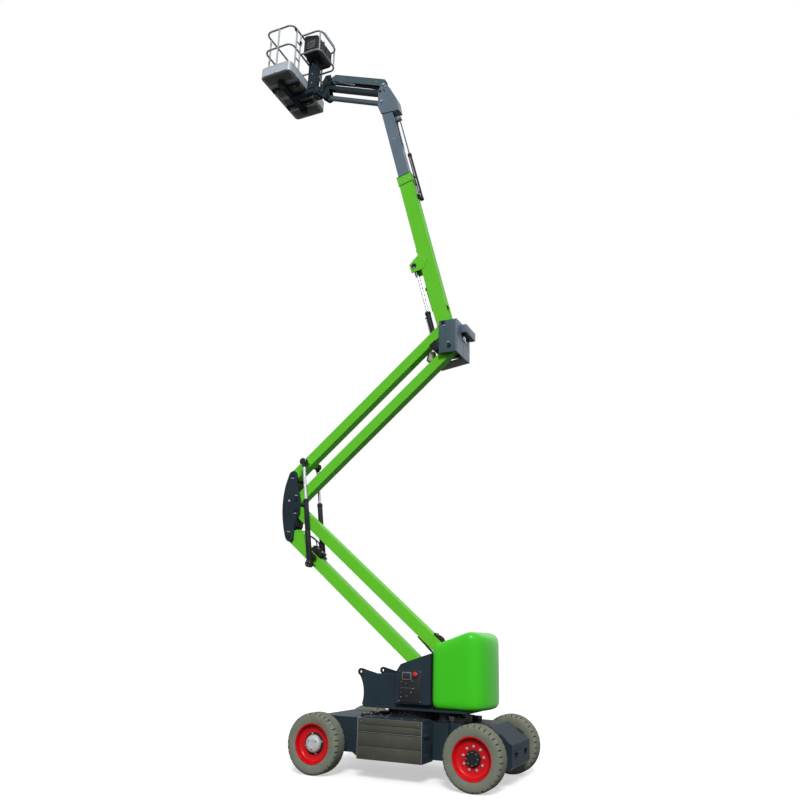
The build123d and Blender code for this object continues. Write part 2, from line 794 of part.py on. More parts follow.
ram_direction = heading(ram_foot, ram_lug)
ram_length = distance(ram_foot, ram_lug)
with BuildPart() as boom_lift_barrel:
    disc(ram_foot, ram_eye_radius, ram_side_play - web_inner, web_inner - ram_side_play)
    bar(ram_foot, ram_direction, ram_eye_radius / 2, ram_barrel_length, ram_barrel_radius)
    bar(
        ram_foot, ram_direction, ram_barrel_radius + 10, ram_barrel_length,
        ram_rod_radius + shaft_play, mode=Mode.SUBTRACT,
    )
    disc(ram_foot, ram_pin_radius + shaft_play, -web_inner, web_inner, mode=Mode.SUBTRACT)
boom_lift_barrel.part.label = "boom_lift_barrel"
export_step(boom_lift_barrel.part, "parts/boom_lift_barrel.step")

with BuildPart() as boom_lift_rod:
    disc(ram_lug, ram_eye_radius, seat_gap - lug_stub_end, lug_stub_end - seat_gap)
    bar(ram_foot, ram_direction, ram_rod_tail, ram_length, ram_rod_radius)
boom_lift_rod.part.label = "boom_lift_rod"
export_step(boom_lift_rod.part, "parts/boom_lift_rod.step")

level_direction = heading(level_head, level_foot)
level_length = distance(level_head, level_foot)
with BuildPart() as level_barrel:
    disc(level_head, level_barrel_radius, -20, 20)
    bar(level_head, level_direction, 0, level_barrel_length, level_barrel_radius)
    bar(
        level_head, level_direction, level_barrel_radius + 15, level_barrel_length,
        level_rod_radius + shaft_play, mode=Mode.SUBTRACT,
    )
    disc(level_head, level_pin_radius + shaft_play, -20, 20, mode=Mode.SUBTRACT)
level_barrel.part.label = "level_barrel"
export_step(level_barrel.part, "parts/level_barrel.step")

with BuildPart() as level_rod:
    bar(level_head, level_direction, level_rod_tail, level_length - 26, level_rod_radius)
    bar(level_head, level_direction, level_length - 60, level_length - 20, level_barrel_radius - 2)
level_rod.part.label = "level_rod"
export_step(level_rod.part, "parts/level_rod.step")

# Extension cylinder: its barrel lies outside the boom, its rod pushes on the telescope's head.
with BuildPart() as extension_barrel:
    bar(
        beyond(boom_origin, boom_direction, 0, -extend_offset - boom_sink), boom_direction,
        extend_barrel_start, extend_barrel_end, extend_barrel_radius,
    )
    bar(
        beyond(boom_origin, boom_direction, 0, -extend_offset - boom_sink), boom_direction,
        extend_barrel_start + 30, extend_barrel_end, extend_rod_radius + shaft_play, mode=Mode.SUBTRACT,
    )
    extend_gap = extend_offset + boom_sink - extend_barrel_radius
    beam(
        boom_origin, boom_direction, extend_barrel_start + 40, extend_barrel_start + 120,
        -extend_gap - 8, -boom_half, 16,
    )
extension_barrel.part.label = "extension_barrel"
export_step(extension_barrel.part, "parts/extension_barrel.step")

# Telescope: the inner tube, two head plates that carry the jib, and the foot of the outside rod.
tele_half = tele_depth / 2
head_outer = head_inner + head_plate
with BuildPart() as tele_boom:
    beam(boom_origin, boom_direction, tele_start, tele_end, -tele_half, tele_half, tele_half_width)
    beam(
        boom_origin, boom_direction, tele_start - 1, tele_end - tele_wall, tele_wall - tele_half,
        tele_half - tele_wall, tele_half_width - tele_wall, mode=Mode.SUBTRACT,
    )
    for side in (-1, 1):
        slab(
            (
                shifted(jib_pin, (-31, -586)), shifted(jib_pin, (-98, -420)), shifted(jib_pin, (-98, -103)),
                shifted(jib_pin, (-53, 27)), shifted(jib_pin, (-7, 53)), shifted(jib_pin, (35, 27)),
                shifted(jib_pin, (129, -125)), shifted(jib_pin, (254, -366)), shifted(jib_pin, (303, -607)),
            ),
            min(side * head_inner, side * head_outer), max(side * head_inner, side * head_outer),
        )
        for pin in (jib_pin, jib_link_pin):
            stub = (side * link_stub_end, side * (head_outer + 5))
            disc(pin, jib_pin_radius, min(stub), max(stub))
    for pin in (jib_strut_pin, jib_ram_foot):
        disc(pin, jib_pin_radius, -head_outer - 5, head_outer + 5)
    slab(
        (
            shifted(jib_pin, (155, -428)), shifted(jib_pin, (249, -373)), shifted(jib_pin, (299, -597)),
            shifted(jib_pin, (205, -627)),
        ),
        -head_inner, head_inner,
    )
    beam(
        boom_origin, boom_direction, extend_rod_end - 30, extend_rod_end + 30,
        -extend_offset - boom_sink - 30, -tele_half + 2, 26,
    )
    bar(
        beyond(boom_origin, boom_direction, 0, -extend_offset - boom_sink), boom_direction,
        extend_barrel_end - extend_rod_tail, extend_rod_end, extend_rod_radius,
    )
tele_boom.part.label = "tele_boom"
export_step(tele_boom.part, "parts/tele_boom.step")

# Jib: an upside-down channel over the cylinder, a link and a strut that keep the bracket level.
jib_inner = jib_half_width - jib_wall
with BuildPart() as jib_arm:
    for side in (-1, 1):
        wall_low = min(side * jib_inner, side * jib_half_width)
        with BuildSketch(
            Plane(
                origin=(jib_pin[0], wall_low + jib_wall, jib_pin[1]),
                x_dir=(jib_step[0], 0, jib_step[1]), z_dir=(0, 1, 0),
            )
        ) as wall_face:
            with BuildLine():
                Polyline(
                    (0, -jib_drop), (jib_length, -jib_drop), (jib_length, jib_lobe),
                    (jib_length - 75, jib_rise), (40, jib_rise), (0, jib_lobe), close=True,
                )
            make_face()
            with Locations((0, 0), (jib_length, 0)):
                Circle(jib_lobe)
                Circle(jib_pin_radius + shaft_play, mode=Mode.SUBTRACT)
        extrude(wall_face.sketch, amount=jib_wall, dir=(0, -1, 0))
    with BuildSketch(
        Plane(
            origin=(jib_pin[0], jib_half_width, jib_pin[1]),
            x_dir=(jib_step[0], 0, jib_step[1]), z_dir=(0, 1, 0),
        )
    ) as lid_face:
        with Locations(((jib_length - 35) / 2, jib_rise - jib_wall / 2)):
            Rectangle(jib_length - 115, jib_wall)
    extrude(lid_face.sketch, amount=2 * jib_half_width, dir=(0, -1, 0))
jib_arm.part.label = "jib_arm"
export_step(jib_arm.part, "parts/jib_arm.step")

with BuildPart() as jib_link:
    beam(jib_link_pin, jib_direction, 0, jib_length, -link_half_depth, link_half_depth, link_half_width)
    for pin in (jib_link_pin, jib_link_end):
        disc(pin, link_half_depth, -link_half_width, link_half_width)
    beam(
        jib_link_pin, jib_direction, -jib_length / 2, jib_length * 1.5,
        -link_half_depth - 1, link_half_depth - link_wall, link_half_width - link_wall, mode=Mode.SUBTRACT,
    )
    for pin in (jib_link_pin, jib_link_end):
        disc(pin, jib_pin_radius + shaft_play, -link_half_width, link_half_width, mode=Mode.SUBTRACT)
jib_link.part.label = "jib_link"
export_step(jib_link.part, "parts/jib_link.step")

with BuildPart() as jib_strut:
    beam(jib_strut_pin, jib_direction, 0, jib_length, -strut_half_depth, strut_half_depth, strut_half_width)
    for pin in (jib_strut_pin, jib_strut_end):
        disc(pin, strut_half_depth, -head_inner + 5, head_inner - 5)
        disc(pin, jib_pin_radius + shaft_play, -head_inner, head_inner, mode=Mode.SUBTRACT)
jib_strut.part.label = "jib_strut"
export_step(jib_strut.part, "parts/jib_strut.step")

jib_ram_direction = heading(jib_ram_foot, jib_ram_head)
jib_ram_span = distance(jib_ram_foot, jib_ram_head)
with BuildPart() as jib_barrel:
    disc(jib_ram_foot, jib_ram_eye_radius, -jib_ram_eye_half, jib_ram_eye_half)
    bar(jib_ram_foot, jib_ram_direction, jib_ram_eye_radius / 2, jib_ram_length, jib_ram_radius)
    bar(
        jib_ram_foot, jib_ram_direction, jib_ram_radius + 10, jib_ram_length,
        jib_ram_rod_radius + shaft_play, mode=Mode.SUBTRACT,
    )
    disc(
        jib_ram_foot, jib_pin_radius + shaft_play, -jib_ram_eye_half, jib_ram_eye_half,
        mode=Mode.SUBTRACT,
    )
jib_barrel.part.label = "jib_barrel"
export_step(jib_barrel.part, "parts/jib_barrel.step")

with BuildPart() as jib_rod:
    disc(jib_ram_head, jib_ram_radius - 4, -jib_ram_eye_half, jib_ram_eye_half)
    bar(jib_ram_foot, jib_ram_direction, jib_ram_rod_tail, jib_ram_span, jib_ram_rod_radius)
jib_rod.part.label = "jib_rod"
export_step(jib_rod.part, "parts/jib_rod.step")

# Bracket at the jib's end, with the housing of the basket's rotor.
with BuildPart() as jib_bracket:
    for side in (-1, 1):
        slab(
            (
                shifted(jib_end, (42, 10)), shifted(jib_end, (20, 96)), shifted(jib_end, (-80, 108)),
                (rotor_x + rotor_radius + 52, rotor_high + 60), (rotor_x + rotor_radius + 52, rotor_low - 20),
                shifted(jib_strut_end, (-32, -46)), shifted(jib_strut_end, (38, -36)),
                shifted(jib_strut_end, (38, 90)), shifted(jib_link_end, (46, -10)), shifted(jib_end, (42, -40)),
            ),
            min(side * head_inner, side * head_outer), max(side * head_inner, side * head_outer),
        )
        for pin in (jib_end, jib_link_end):
            stub = (side * link_stub_end, side * (head_outer + 5))
            disc(pin, jib_pin_radius, min(stub), max(stub))
        stub = (side * (jib_ram_eye_half + 4), side * (head_outer + 5))
        disc(jib_ram_head, jib_pin_radius - 3, min(stub), max(stub))
    disc(jib_strut_end, jib_pin_radius, -head_outer - 5, head_outer + 5)
    slab(
        (
            (rotor_x, rotor_low), (rotor_x + rotor_radius + 75, rotor_low),
            (rotor_x + rotor_radius + 75, rotor_high), (rotor_x, rotor_high),
        ),
        -head_inner, head_inner,
    )
    with Locations((rotor_x, 0, (rotor_low + rotor_high) / 2)):
        Cylinder(rotor_radius + 4, rotor_high - rotor_low)
        Cylinder(rotor_post_radius + shaft_play, rotor_high - rotor_low, mode=Mode.SUBTRACT)
jib_bracket.part.label = "jib_bracket"
export_step(jib_bracket.part, "parts/jib_bracket.step")

# Basket support: the rotor, a column up to the console and a spine with two cross members.
support_low = rotor_high + rotor_gap
with BuildPart() as basket_support:
    with Locations((rotor_x, 0, (support_low + basket_low) / 2)):
        Cylinder(rotor_radius, basket_low - support_low)
    with Locations((rotor_x, 0, (rotor_low + basket_low) / 2)):
        Cylinder(rotor_post_radius, basket_low - rotor_low)
    with Locations(((rotor_x + basket_mid) / 2, 0, (support_low + basket_low) / 2)):
        Box(rotor_x - basket_mid, 100, basket_low - support_low)
    with Locations((basket_mid, 0, basket_low - 38)):
        Box(90, 0.64 * basket_length, 76)
    for side in (-1, 1):
        with Locations((basket_mid, side * 0.2 * basket_length, basket_low - 20)):
            Box(basket_width - 60, 70, 40)
        with Locations((basket_mid, side * 0.32 * basket_length, basket_low - 45)):
            Cylinder(66, 70)
    with Locations(((basket_front + rotor_x) / 2 + 10, 0, (basket_low + rail_top - console_drop) / 2)):
        Box(rotor_x - basket_front - 30, 120, rail_top - console_drop - basket_low)
basket_support.part.label = "basket_support"
export_step(basket_support.part, "parts/basket_support.step")

with BuildPart() as basket_floor:
    with BuildSketch(Plane.XY.offset(basket_low)):
        with Locations((basket_mid, 0)):
            RectangleRounded(basket_width, basket_length, basket_corner)
    extrude(amount=toe_height)
    with BuildSketch(Plane.XY.offset(floor_top)):
        with Locations((basket_mid, 0)):
            RectangleRounded(
                basket_width - 2 * toe_wall, basket_length - 2 * toe_wall, basket_corner - toe_wall
            )
    extrude(amount=toe_height, mode=Mode.SUBTRACT)
basket_floor.part.label = "basket_floor"
export_step(basket_floor.part, "parts/basket_floor.step")

# Basket rails: two closed loops on posts that stand in the floor, and a guard round the console.
rail_half_x = basket_width / 2 - toe_wall - rail_radius
rail_half_y = basket_length / 2 - toe_wall - rail_radius
post_middle = (floor_top + rail_top) / 2
guard_level_low = rail_top - guard_drop
guard_x = basket_front + guard_reach - rail_radius
rail_x = basket_mid + rail_half_x
with BuildPart() as basket_rails:
    for level in (basket_low + mid_rail_height, rail_top):
        with BuildLine() as loop:
            FilletPolyline(
                (basket_mid - rail_half_x, rail_half_y, level), (basket_mid - rail_half_x, -rail_half_y, level),
                (basket_mid + rail_half_x, -rail_half_y, level), (basket_mid + rail_half_x, rail_half_y, level),
                radius=rail_bend, close=True,
            )
        loop_path = loop.wires()[0]
        with BuildSketch(Plane(origin=loop_path @ 0, z_dir=loop_path % 0)):
            Circle(rail_radius)
        sweep(path=loop_path)
    with Locations(
        (basket_mid, -rail_half_y, post_middle), (basket_mid, rail_half_y, post_middle),
        (basket_mid - rail_half_x, 0.72 * rail_half_y, post_middle),
        (basket_mid - rail_half_x, -0.72 * rail_half_y, post_middle),
        (basket_mid + rail_half_x, gate_side, post_middle),
        (basket_mid + rail_half_x, -0.76 * rail_half_y, post_middle),
        (basket_mid + rail_half_x, 0.76 * rail_half_y, post_middle),
    ):
        Cylinder(rail_radius - 2, rail_top - floor_top)
    for level in (guard_level_low, rail_top):
        with BuildLine() as loop:
            FilletPolyline(
                (rail_x, -guard_half_width, level), (guard_x, -guard_half_width, level),
                (guard_x, guard_half_width, level), (rail_x, guard_half_width, level), radius=rail_bend,
            )
        with BuildSketch(Plane(origin=(rail_x, -guard_half_width, level), z_dir=(1, 0, 0))):
            Circle(rail_radius)
        sweep(path=loop.wires()[0])
    for side in (-1, 1):
        with Locations(
            (guard_x - rail_bend * 0.3, side * (guard_half_width - rail_bend * 0.3),
             (guard_level_low + rail_top) / 2)
        ):
            Cylinder(rail_radius - 3, rail_top - guard_level_low)
    with Locations((guard_x + rail_radius - band_plate / 2, 0, rail_top)):
        Box(band_plate, 2 * guard_half_width - 2 * rail_bend, band_height)
basket_rails.part.label = "basket_rails"
export_step(basket_rails.part, "parts/basket_rails.step")

# Control console of the basket, on top of the support's column.
console_x = basket_front + 6
console_base = rail_top - console_drop
with BuildPart() as console:
    slab(
        (
            (console_x, console_base), (console_x + console_reach - 40, console_base),
            (console_x + console_reach, console_base + 60), (console_x + console_reach - 40, rail_top - 40),
            (console_x + 60, rail_top + console_rise), (console_x, rail_top + console_rise),
        ),
        -console_half_width, console_half_width,
    )
console.part.label = "console"
export_step(console.part, "parts/console.step")
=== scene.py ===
import json
from math import cos, pi, radians, sin

import bmesh
import bpy
from mathutils import Matrix, Vector

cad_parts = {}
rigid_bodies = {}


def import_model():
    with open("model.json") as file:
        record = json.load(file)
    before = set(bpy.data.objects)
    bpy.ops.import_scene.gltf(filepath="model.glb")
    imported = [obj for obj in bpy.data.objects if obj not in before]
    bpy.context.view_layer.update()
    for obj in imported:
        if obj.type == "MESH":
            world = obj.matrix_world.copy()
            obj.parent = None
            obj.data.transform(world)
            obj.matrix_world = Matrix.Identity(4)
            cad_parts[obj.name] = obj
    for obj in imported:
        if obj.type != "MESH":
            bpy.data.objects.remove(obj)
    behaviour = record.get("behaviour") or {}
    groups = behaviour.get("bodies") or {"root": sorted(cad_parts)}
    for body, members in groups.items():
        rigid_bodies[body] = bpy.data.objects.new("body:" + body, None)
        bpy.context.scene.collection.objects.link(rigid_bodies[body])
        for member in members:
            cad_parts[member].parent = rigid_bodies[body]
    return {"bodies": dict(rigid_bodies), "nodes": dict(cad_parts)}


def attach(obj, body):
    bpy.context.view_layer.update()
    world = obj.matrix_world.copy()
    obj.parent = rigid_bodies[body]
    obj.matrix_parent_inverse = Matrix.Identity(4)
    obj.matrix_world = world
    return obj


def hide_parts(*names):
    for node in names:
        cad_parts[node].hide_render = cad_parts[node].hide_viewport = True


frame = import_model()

# %% [markdown]
# # An articulating boom lift, raised
#
# The frame is the imported CAD model: every steel part is already in its place. This lesson gives
# each part its finish and adds what is too fine for the CAD, such as nuts, keeper plates, hoses,
# panel fittings and the slits in the tyres. All sizes are in metres. The ground is at z = 0, the
# boom reaches towards -X, and the side with the ground controls faces -Y.

# %% The scene and the CAD nodes
scene = bpy.context.scene
bodies, nodes = frame["bodies"], frame["nodes"]
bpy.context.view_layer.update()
print("CAD nodes:", len(nodes), "bodies:", len(bodies))

# %% [markdown]
# ## Finishes
#
# Paint on a machine is never one flat colour: it varies a little over a panel, it has a fine
# orange-peel surface, and its edges are rubbed lighter. One function makes that from noise on
# Object coordinates. A Bevel node rounds the sharp CAD edges in the shading, and the angle
# between that rounded normal and the true one gives the places where the paint is worn.

# %% One function for every finish
def finish(name, colour, rough=0.4, metal=0.0, coat=0.0, vary=0.08, patch=2.5, grain=140.0,
           lift=0.06, worn=None, edge=0.003, brushed=None, shine=0.3):
    made = bpy.data.materials.new(name)
    made.use_nodes = True
    made.diffuse_color = (*colour, 1)
    tree = made.node_tree
    add, link = tree.nodes.new, tree.links.new
    shader = tree.nodes["Principled BSDF"]
    shader.inputs["Metallic"].default_value = metal
    shader.inputs["Specular IOR Level"].default_value = shine
    shader.inputs["Coat Weight"].default_value = coat
    shader.inputs["Coat Roughness"].default_value = 0.12
    place = add("ShaderNodeTexCoord")
    large = add("ShaderNodeTexNoise")
    large.inputs["Scale"].default_value = patch
    large.inputs["Detail"].default_value = 5
    link(place.outputs["Object"], large.inputs["Vector"])
    tone = add("ShaderNodeMix")
    tone.data_type = "RGBA"
    tone.inputs["A"].default_value = (*[max(0.0, c * (1 - 1.6 * vary)) for c in colour], 1)
    tone.inputs["B"].default_value = (*[min(1.0, c * (1 + 1.6 * vary) + 0.1 * vary) for c in colour], 1)
    link(large.outputs["Fac"], tone.inputs["Factor"])
    fine = add("ShaderNodeTexNoise")
    fine.inputs["Scale"].default_value = grain
    fine.inputs["Detail"].default_value = 3
    if brushed:
        stretch = add("ShaderNodeMapping")
        stretch.inputs["Scale"].default_value = brushed
        link(place.outputs["Object"], stretch.inputs["Vector"])
        link(stretch.outputs["Vector"], fine.inputs["Vector"])
    else:
        link(place.outputs["Object"], fine.inputs["Vector"])
    gloss = add("ShaderNodeMapRange")
    gloss.inputs["To Min"].default_value = max(0.03, rough - 0.07)
    gloss.inputs["To Max"].default_value = min(1.0, rough + 0.09)
    link((fine if brushed else large).outputs["Fac"], gloss.inputs["Value"])
    link(gloss.outputs["Result"], shader.inputs["Roughness"])
    rounded = add("ShaderNodeBevel")
    rounded.samples = 4
    rounded.inputs["Radius"].default_value = edge
    bump = add("ShaderNodeBump")
    bump.inputs["Strength"].default_value = lift
    bump.inputs["Distance"].default_value = 0.002
    link(fine.outputs["Fac"], bump.inputs["Height"])
    link(rounded.outputs["Normal"], bump.inputs["Normal"])
    link(bump.outputs["Normal"], shader.inputs["Normal"])
    last = tone.outputs["Result"]
    if worn:
        true = add("ShaderNodeNewGeometry")
        angle = add("ShaderNodeVectorMath")
        angle.operation = "DOT_PRODUCT"
        link(rounded.outputs["Normal"], angle.inputs[0])
        link(true.outputs["Normal"], angle.inputs[1])
        mask = add("ShaderNodeMapRange")
        mask.inputs["From Min"].default_value = 0.97
        mask.inputs["From Max"].default_value = 0.78
        link(angle.outputs["Value"], mask.inputs["Value"])
        broken = add("ShaderNodeMath")
        broken.operation = "MULTIPLY"
        link(mask.outputs["Result"], broken.inputs[0])
        link(large.outputs["Fac"], broken.inputs[1])
        rubbed = add("ShaderNodeMix")
        rubbed.data_type = "RGBA"
        rubbed.inputs["B"].default_value = (*worn, 1)
        link(broken.outputs["Value"], rubbed.inputs["Factor"])
        link(last, rubbed.inputs["A"])
        last = rubbed.outputs["Result"]
    link(last, shader.inputs["Base Color"])
    return made


# %% [markdown]
# The colours come from looking at the machine: a fresh green on the arms and a deeper one on the
# moulded cover, a dark blue-grey on the turret, the knuckles and the basket's frame, red rims,
# warm grey non-marking tyres, and black cylinders with bright rods.

# %% The finishes of this machine
arm_green = finish("arm_green", (0.135, 0.600, 0.026), 0.42, vary=0.05, worn=(0.24, 0.68, 0.12),
                   shine=0.12)
cover_green = finish("cover_green", (0.050, 0.600, 0.010), 0.30, coat=0.10, vary=0.05, patch=1.4,
                     lift=0.03,
                     worn=(0.12, 0.70, 0.06), edge=0.006, shine=0.2)
slate = finish("slate_paint", (0.016, 0.031, 0.042), 0.46, vary=0.14, worn=(0.08, 0.11, 0.13), shine=0.05)
slate_mid = finish("slate_paint_knuckle", (0.066, 0.110, 0.128), 0.40, vary=0.10,
                   worn=(0.18, 0.24, 0.27), shine=0.12)
# The paler slate is the telescope's paint; on the top knuckle's +X face it is painted light.
telescope_slate_and_painted_light = finish("slate_telescope_and_painted_lit_face", (0.110, 0.160, 0.210), 0.36, coat=0.1, vary=0.08,
                    worn=(0.28, 0.34, 0.39))
rim_red = finish("rim_red", (0.600, 0.002, 0.006), 0.32, coat=0.08, vary=0.08, worn=(0.70, 0.04, 0.04),
                 edge=0.002,
                 shine=0.15)
rubber_grey = finish("tyre_rubber_grey", (0.190, 0.202, 0.156), 0.88, vary=0.12, patch=9, grain=260,
                     lift=0.3,
                     shine=0.15)
black = finish("black_paint", (0.007, 0.008, 0.009), 0.44, vary=0.25, worn=(0.04, 0.04, 0.045), shine=0.1)
hose_black = finish("hose_rubber", (0.008, 0.008, 0.009), 0.66, vary=0.2, patch=30, grain=420, lift=0.25,
                    shine=0.18)
plastic = finish("moulded_plastic", (0.011, 0.013, 0.015), 0.58, vary=0.15, grain=600, lift=0.2,
                 worn=(0.04, 0.04, 0.045), shine=0.2)
chrome = finish("cylinder_rod_chrome", (0.50, 0.52, 0.54), 0.24, metal=0.85, vary=0.05, grain=300,
                lift=0.02)
zinc = finish("zinc_plate", (0.40, 0.41, 0.43), 0.42, metal=0.6, vary=0.1, patch=40, grain=500, lift=0.1)
steel = finish("cast_steel_grey", (0.50, 0.51, 0.52), 0.52, metal=0.15, vary=0.12, patch=14, grain=240,
               lift=0.2)
box_steel = finish("brushed_box_steel", (0.055, 0.057, 0.042), 0.46, metal=0.2, vary=0.20, patch=4,
                   grain=60,
                   lift=0.14, worn=(0.17, 0.17, 0.15), brushed=(0.6, 6, 22), shine=0.25)
bright_edge = finish("bright_trim", (0.20, 0.21, 0.21), 0.36, metal=0.4, vary=0.08, patch=20)
toe_silver = finish("toe_board_silver", (0.48, 0.53, 0.60), 0.42, metal=0.1, vary=0.10, patch=6, grain=70,
                    lift=0.1, worn=(0.60, 0.64, 0.68), brushed=(6, 1, 30))
rail_grey = finish("rail_paint", (0.30, 0.33, 0.36), 0.40, metal=0.1, vary=0.08, patch=7,
                   worn=(0.50, 0.52, 0.55))
post_pale = finish("rail_paint_pale", (0.46, 0.49, 0.52), 0.42, vary=0.06, patch=9)
beige = finish("wear_pad_nylon", (0.42, 0.40, 0.34), 0.60, vary=0.08, patch=18, grain=300)
glass = finish("screen_glass", (0.010, 0.013, 0.016), 0.16, vary=0.1, patch=20, lift=0.01)
stop_red = finish("stop_button_red", (0.60, 0.010, 0.016), 0.34, coat=0.3, vary=0.06, patch=30)
bezel = finish("bezel_grey", (0.13, 0.14, 0.15), 0.46, vary=0.1, patch=30)
underside = finish("underside_sheet", (0.30, 0.30, 0.265), 0.60, vary=0.10, patch=8, shine=0.2)
print("finishes:", len(bpy.data.materials))

# %% [markdown]
# ## Dressing the CAD nodes
#
# A CAD node whose shape is right stays as it is and only gets its finish, in its material slots.

# %% A finish for every node
dress = {
    "chassis_frame": slate, "battery_box_near": slate, "battery_box_far": slate, "slew_ring": black,
    "drive_axle": black, "steer_axle": black, "knuckle_near": black, "knuckle_far": black,
    "turret_base": slate, "control_box": slate, "rear_cover": cover_green,
    "lower_arm": arm_green, "lower_link": arm_green, "upper_arm": arm_green, "upper_link": arm_green,
    "mid_knuckle": slate, "top_knuckle": slate_mid, "lift_barrels": black, "lift_rods": chrome,
    "boom": arm_green, "extension_barrel": black, "boom_lift_barrel": black, "boom_lift_rod": chrome,
    "level_barrel": black, "level_rod": chrome, "tele_boom": telescope_slate_and_painted_light, "jib_arm": slate_mid,
    "jib_link": slate, "jib_strut": slate_mid, "jib_barrel": black, "jib_rod": chrome,
    "jib_bracket": slate,
    "basket_support": slate, "basket_floor": toe_silver, "basket_rails": rail_grey, "console": plastic,
    "tyre_drive_near": rubber_grey, "tyre_drive_far": rubber_grey, "tyre_steer_near": rubber_grey,
    "tyre_steer_far": rubber_grey, "wheel_drive_near": rim_red, "wheel_drive_far": rim_red,
    "wheel_steer_near": rim_red, "wheel_steer_far": rim_red,
}
for node, coat_of in dress.items():
    nodes[node].data.materials.clear()
    nodes[node].data.materials.append(coat_of)
print("dressed:", len(dress), "left bare:", sorted(set(nodes) - set(dress)))

# %% [markdown]
# ## Helpers for small steel parts
#
# Bolts, plates and caps are all blocks, rods and turned shapes. Each helper adds one to an open
# bmesh with a bmesh operator, softens its edges with a bevel, and gives it one of the piece's
# finishes. A turned part, such as a hub or a tyre, is a profile spun round an axis.

# %% Blocks, rods, turned shapes and hoses
def tint(bm, before, number):
    for face in bm.faces:
        if face not in before:
            face.material_index = number


def soften(bm, edges, width, steps=2):
    if width:
        bmesh.ops.bevel(bm, geom=edges, offset=width, segments=steps, profile=0.5, affect="EDGES",
                        material=-1, clamp_overlap=True)


def block(bm, centre, size, number=0, soft=0.002, turn=0.0):
    """A block, turned about Y so that its length runs along a direction in the XZ plane."""
    before = set(bm.faces)
    place = Matrix.Translation(centre) @ Matrix.Rotation(-radians(turn), 4, "Y")
    made = bmesh.ops.create_cube(bm, size=1, matrix=place @ Matrix.Diagonal((*size, 1)))
    soften(bm, list({e for v in made["verts"] for e in v.link_edges}), soft)
    tint(bm, before, number)


def rod(bm, start, end, radius, number=0, sides=24, soft=0.0015, radius2=None):
    """A round bar between two points, with softened ends."""
    before = set(bm.faces)
    start, end = Vector(start), Vector(end)
    run = end - start
    place = Matrix.Translation((start + end) / 2) @ run.to_track_quat("Z", "Y").to_matrix().to_4x4()
    made = bmesh.ops.create_cone(bm, cap_ends=True, segments=sides, radius1=radius,
                                 radius2=radius if radius2 is None else radius2,
                                 depth=run.length, matrix=place)
    caps = {f for v in made["verts"] for f in v.link_faces if len(f.verts) == sides}
    soften(bm, list({e for f in caps for e in f.edges}), soft)
    tint(bm, before, number)


def turned(bm, profile, centre, number=0, steps=48, side=-1, closed=True, axis=1):
    """Spins a profile of (radius, height) round Y (axis=1) or Z; heights grow to side."""
    before = set(bm.faces)
    centre = Vector(centre)
    out = Vector((0, side, 0)) if axis == 1 else Vector((0, 0, side))
    across = Vector((0, 0, 1)) if axis == 1 else Vector((1, 0, 0))
    points = [bm.verts.new(centre + out * h + across * r) for r, h in profile]
    loop = points + points[:1] if closed else points
    lines = [bm.edges.new(pair) for pair in zip(loop, loop[1:])]
    bmesh.ops.spin(bm, geom=points + lines, cent=centre, axis=out, dvec=(0, 0, 0), angle=2 * pi,
                   steps=steps, use_merge=True, use_duplicate=False)
    new = [f for f in bm.faces if f not in before]
    poles = {v for f in new for v in f.verts if (v.co - centre).cross(out).length < 1e-5}
    bmesh.ops.remove_doubles(bm, verts=list(poles), dist=1e-5)
    tint(bm, before, number)


def bolt(bm, place, direction, across=0.010, height=0.008, number=0, washer=True):
    """A hexagon head on a washer."""
    place, direction = Vector(place), Vector(direction).normalized()
    if washer:
        rod(bm, place - direction * 0.002, place + direction * 0.002, across * 1.25, number, 16, 0.0005)
    rod(bm, place, place + direction * height, across, number, 6, 0.0008)


def piece(name, bm, finishes, body, stands_for=(), angle=38):
    """Closes a bmesh into an object that rides on a body."""
    bmesh.ops.recalc_face_normals(bm, faces=bm.faces[:])
    mesh = bpy.data.meshes.new(name)
    bm.to_mesh(mesh)
    bm.free()
    mesh.shade_smooth()
    mesh.set_sharp_from_angle(angle=radians(angle))
    for each in finishes if isinstance(finishes, (list, tuple)) else [finishes]:
        mesh.materials.append(each)
    made = bpy.data.objects.new(name, mesh)
    scene.collection.objects.link(made)
    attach(made, body)
    if stands_for:
        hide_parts(*stands_for)
    return made


def hose(name, points, radius, body, coat_of=None):
    """A hose or wire that the machine holds all the way: a smooth NURBS line with round section."""
    curve = bpy.data.curves.new(name, "CURVE")
    curve.dimensions = "3D"
    curve.bevel_depth = radius
    curve.bevel_resolution = 3
    curve.use_fill_caps = True
    line = curve.splines.new("NURBS")
    line.points.add(len(points) - 1)
    for dot, where in zip(line.points, points):
        dot.co = (*where, 1)
    line.order_u = 3
    line.use_endpoint_u = True
    line.resolution_u = 10
    curve.materials.append(coat_of or hose_black)
    made = bpy.data.objects.new(name, curve)
    scene.collection.objects.link(made)
    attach(made, body)
    return made


def beyond(point, angle, reach, left=0.0):
    """The point at reach along a direction in XZ, and left of that line."""
    c, s = cos(radians(angle)), sin(radians(angle))
    return (point[0] + reach * c - left * s, point[1] + reach * s + left * c)


def at(point, y):
    return Vector((point[0], y, point[1]))


print("helpers ready")

# %% [markdown]
# ## The places of the pins
#
# These repeat the CAD's pins and directions, in metres, so that each detail sits on its steel.

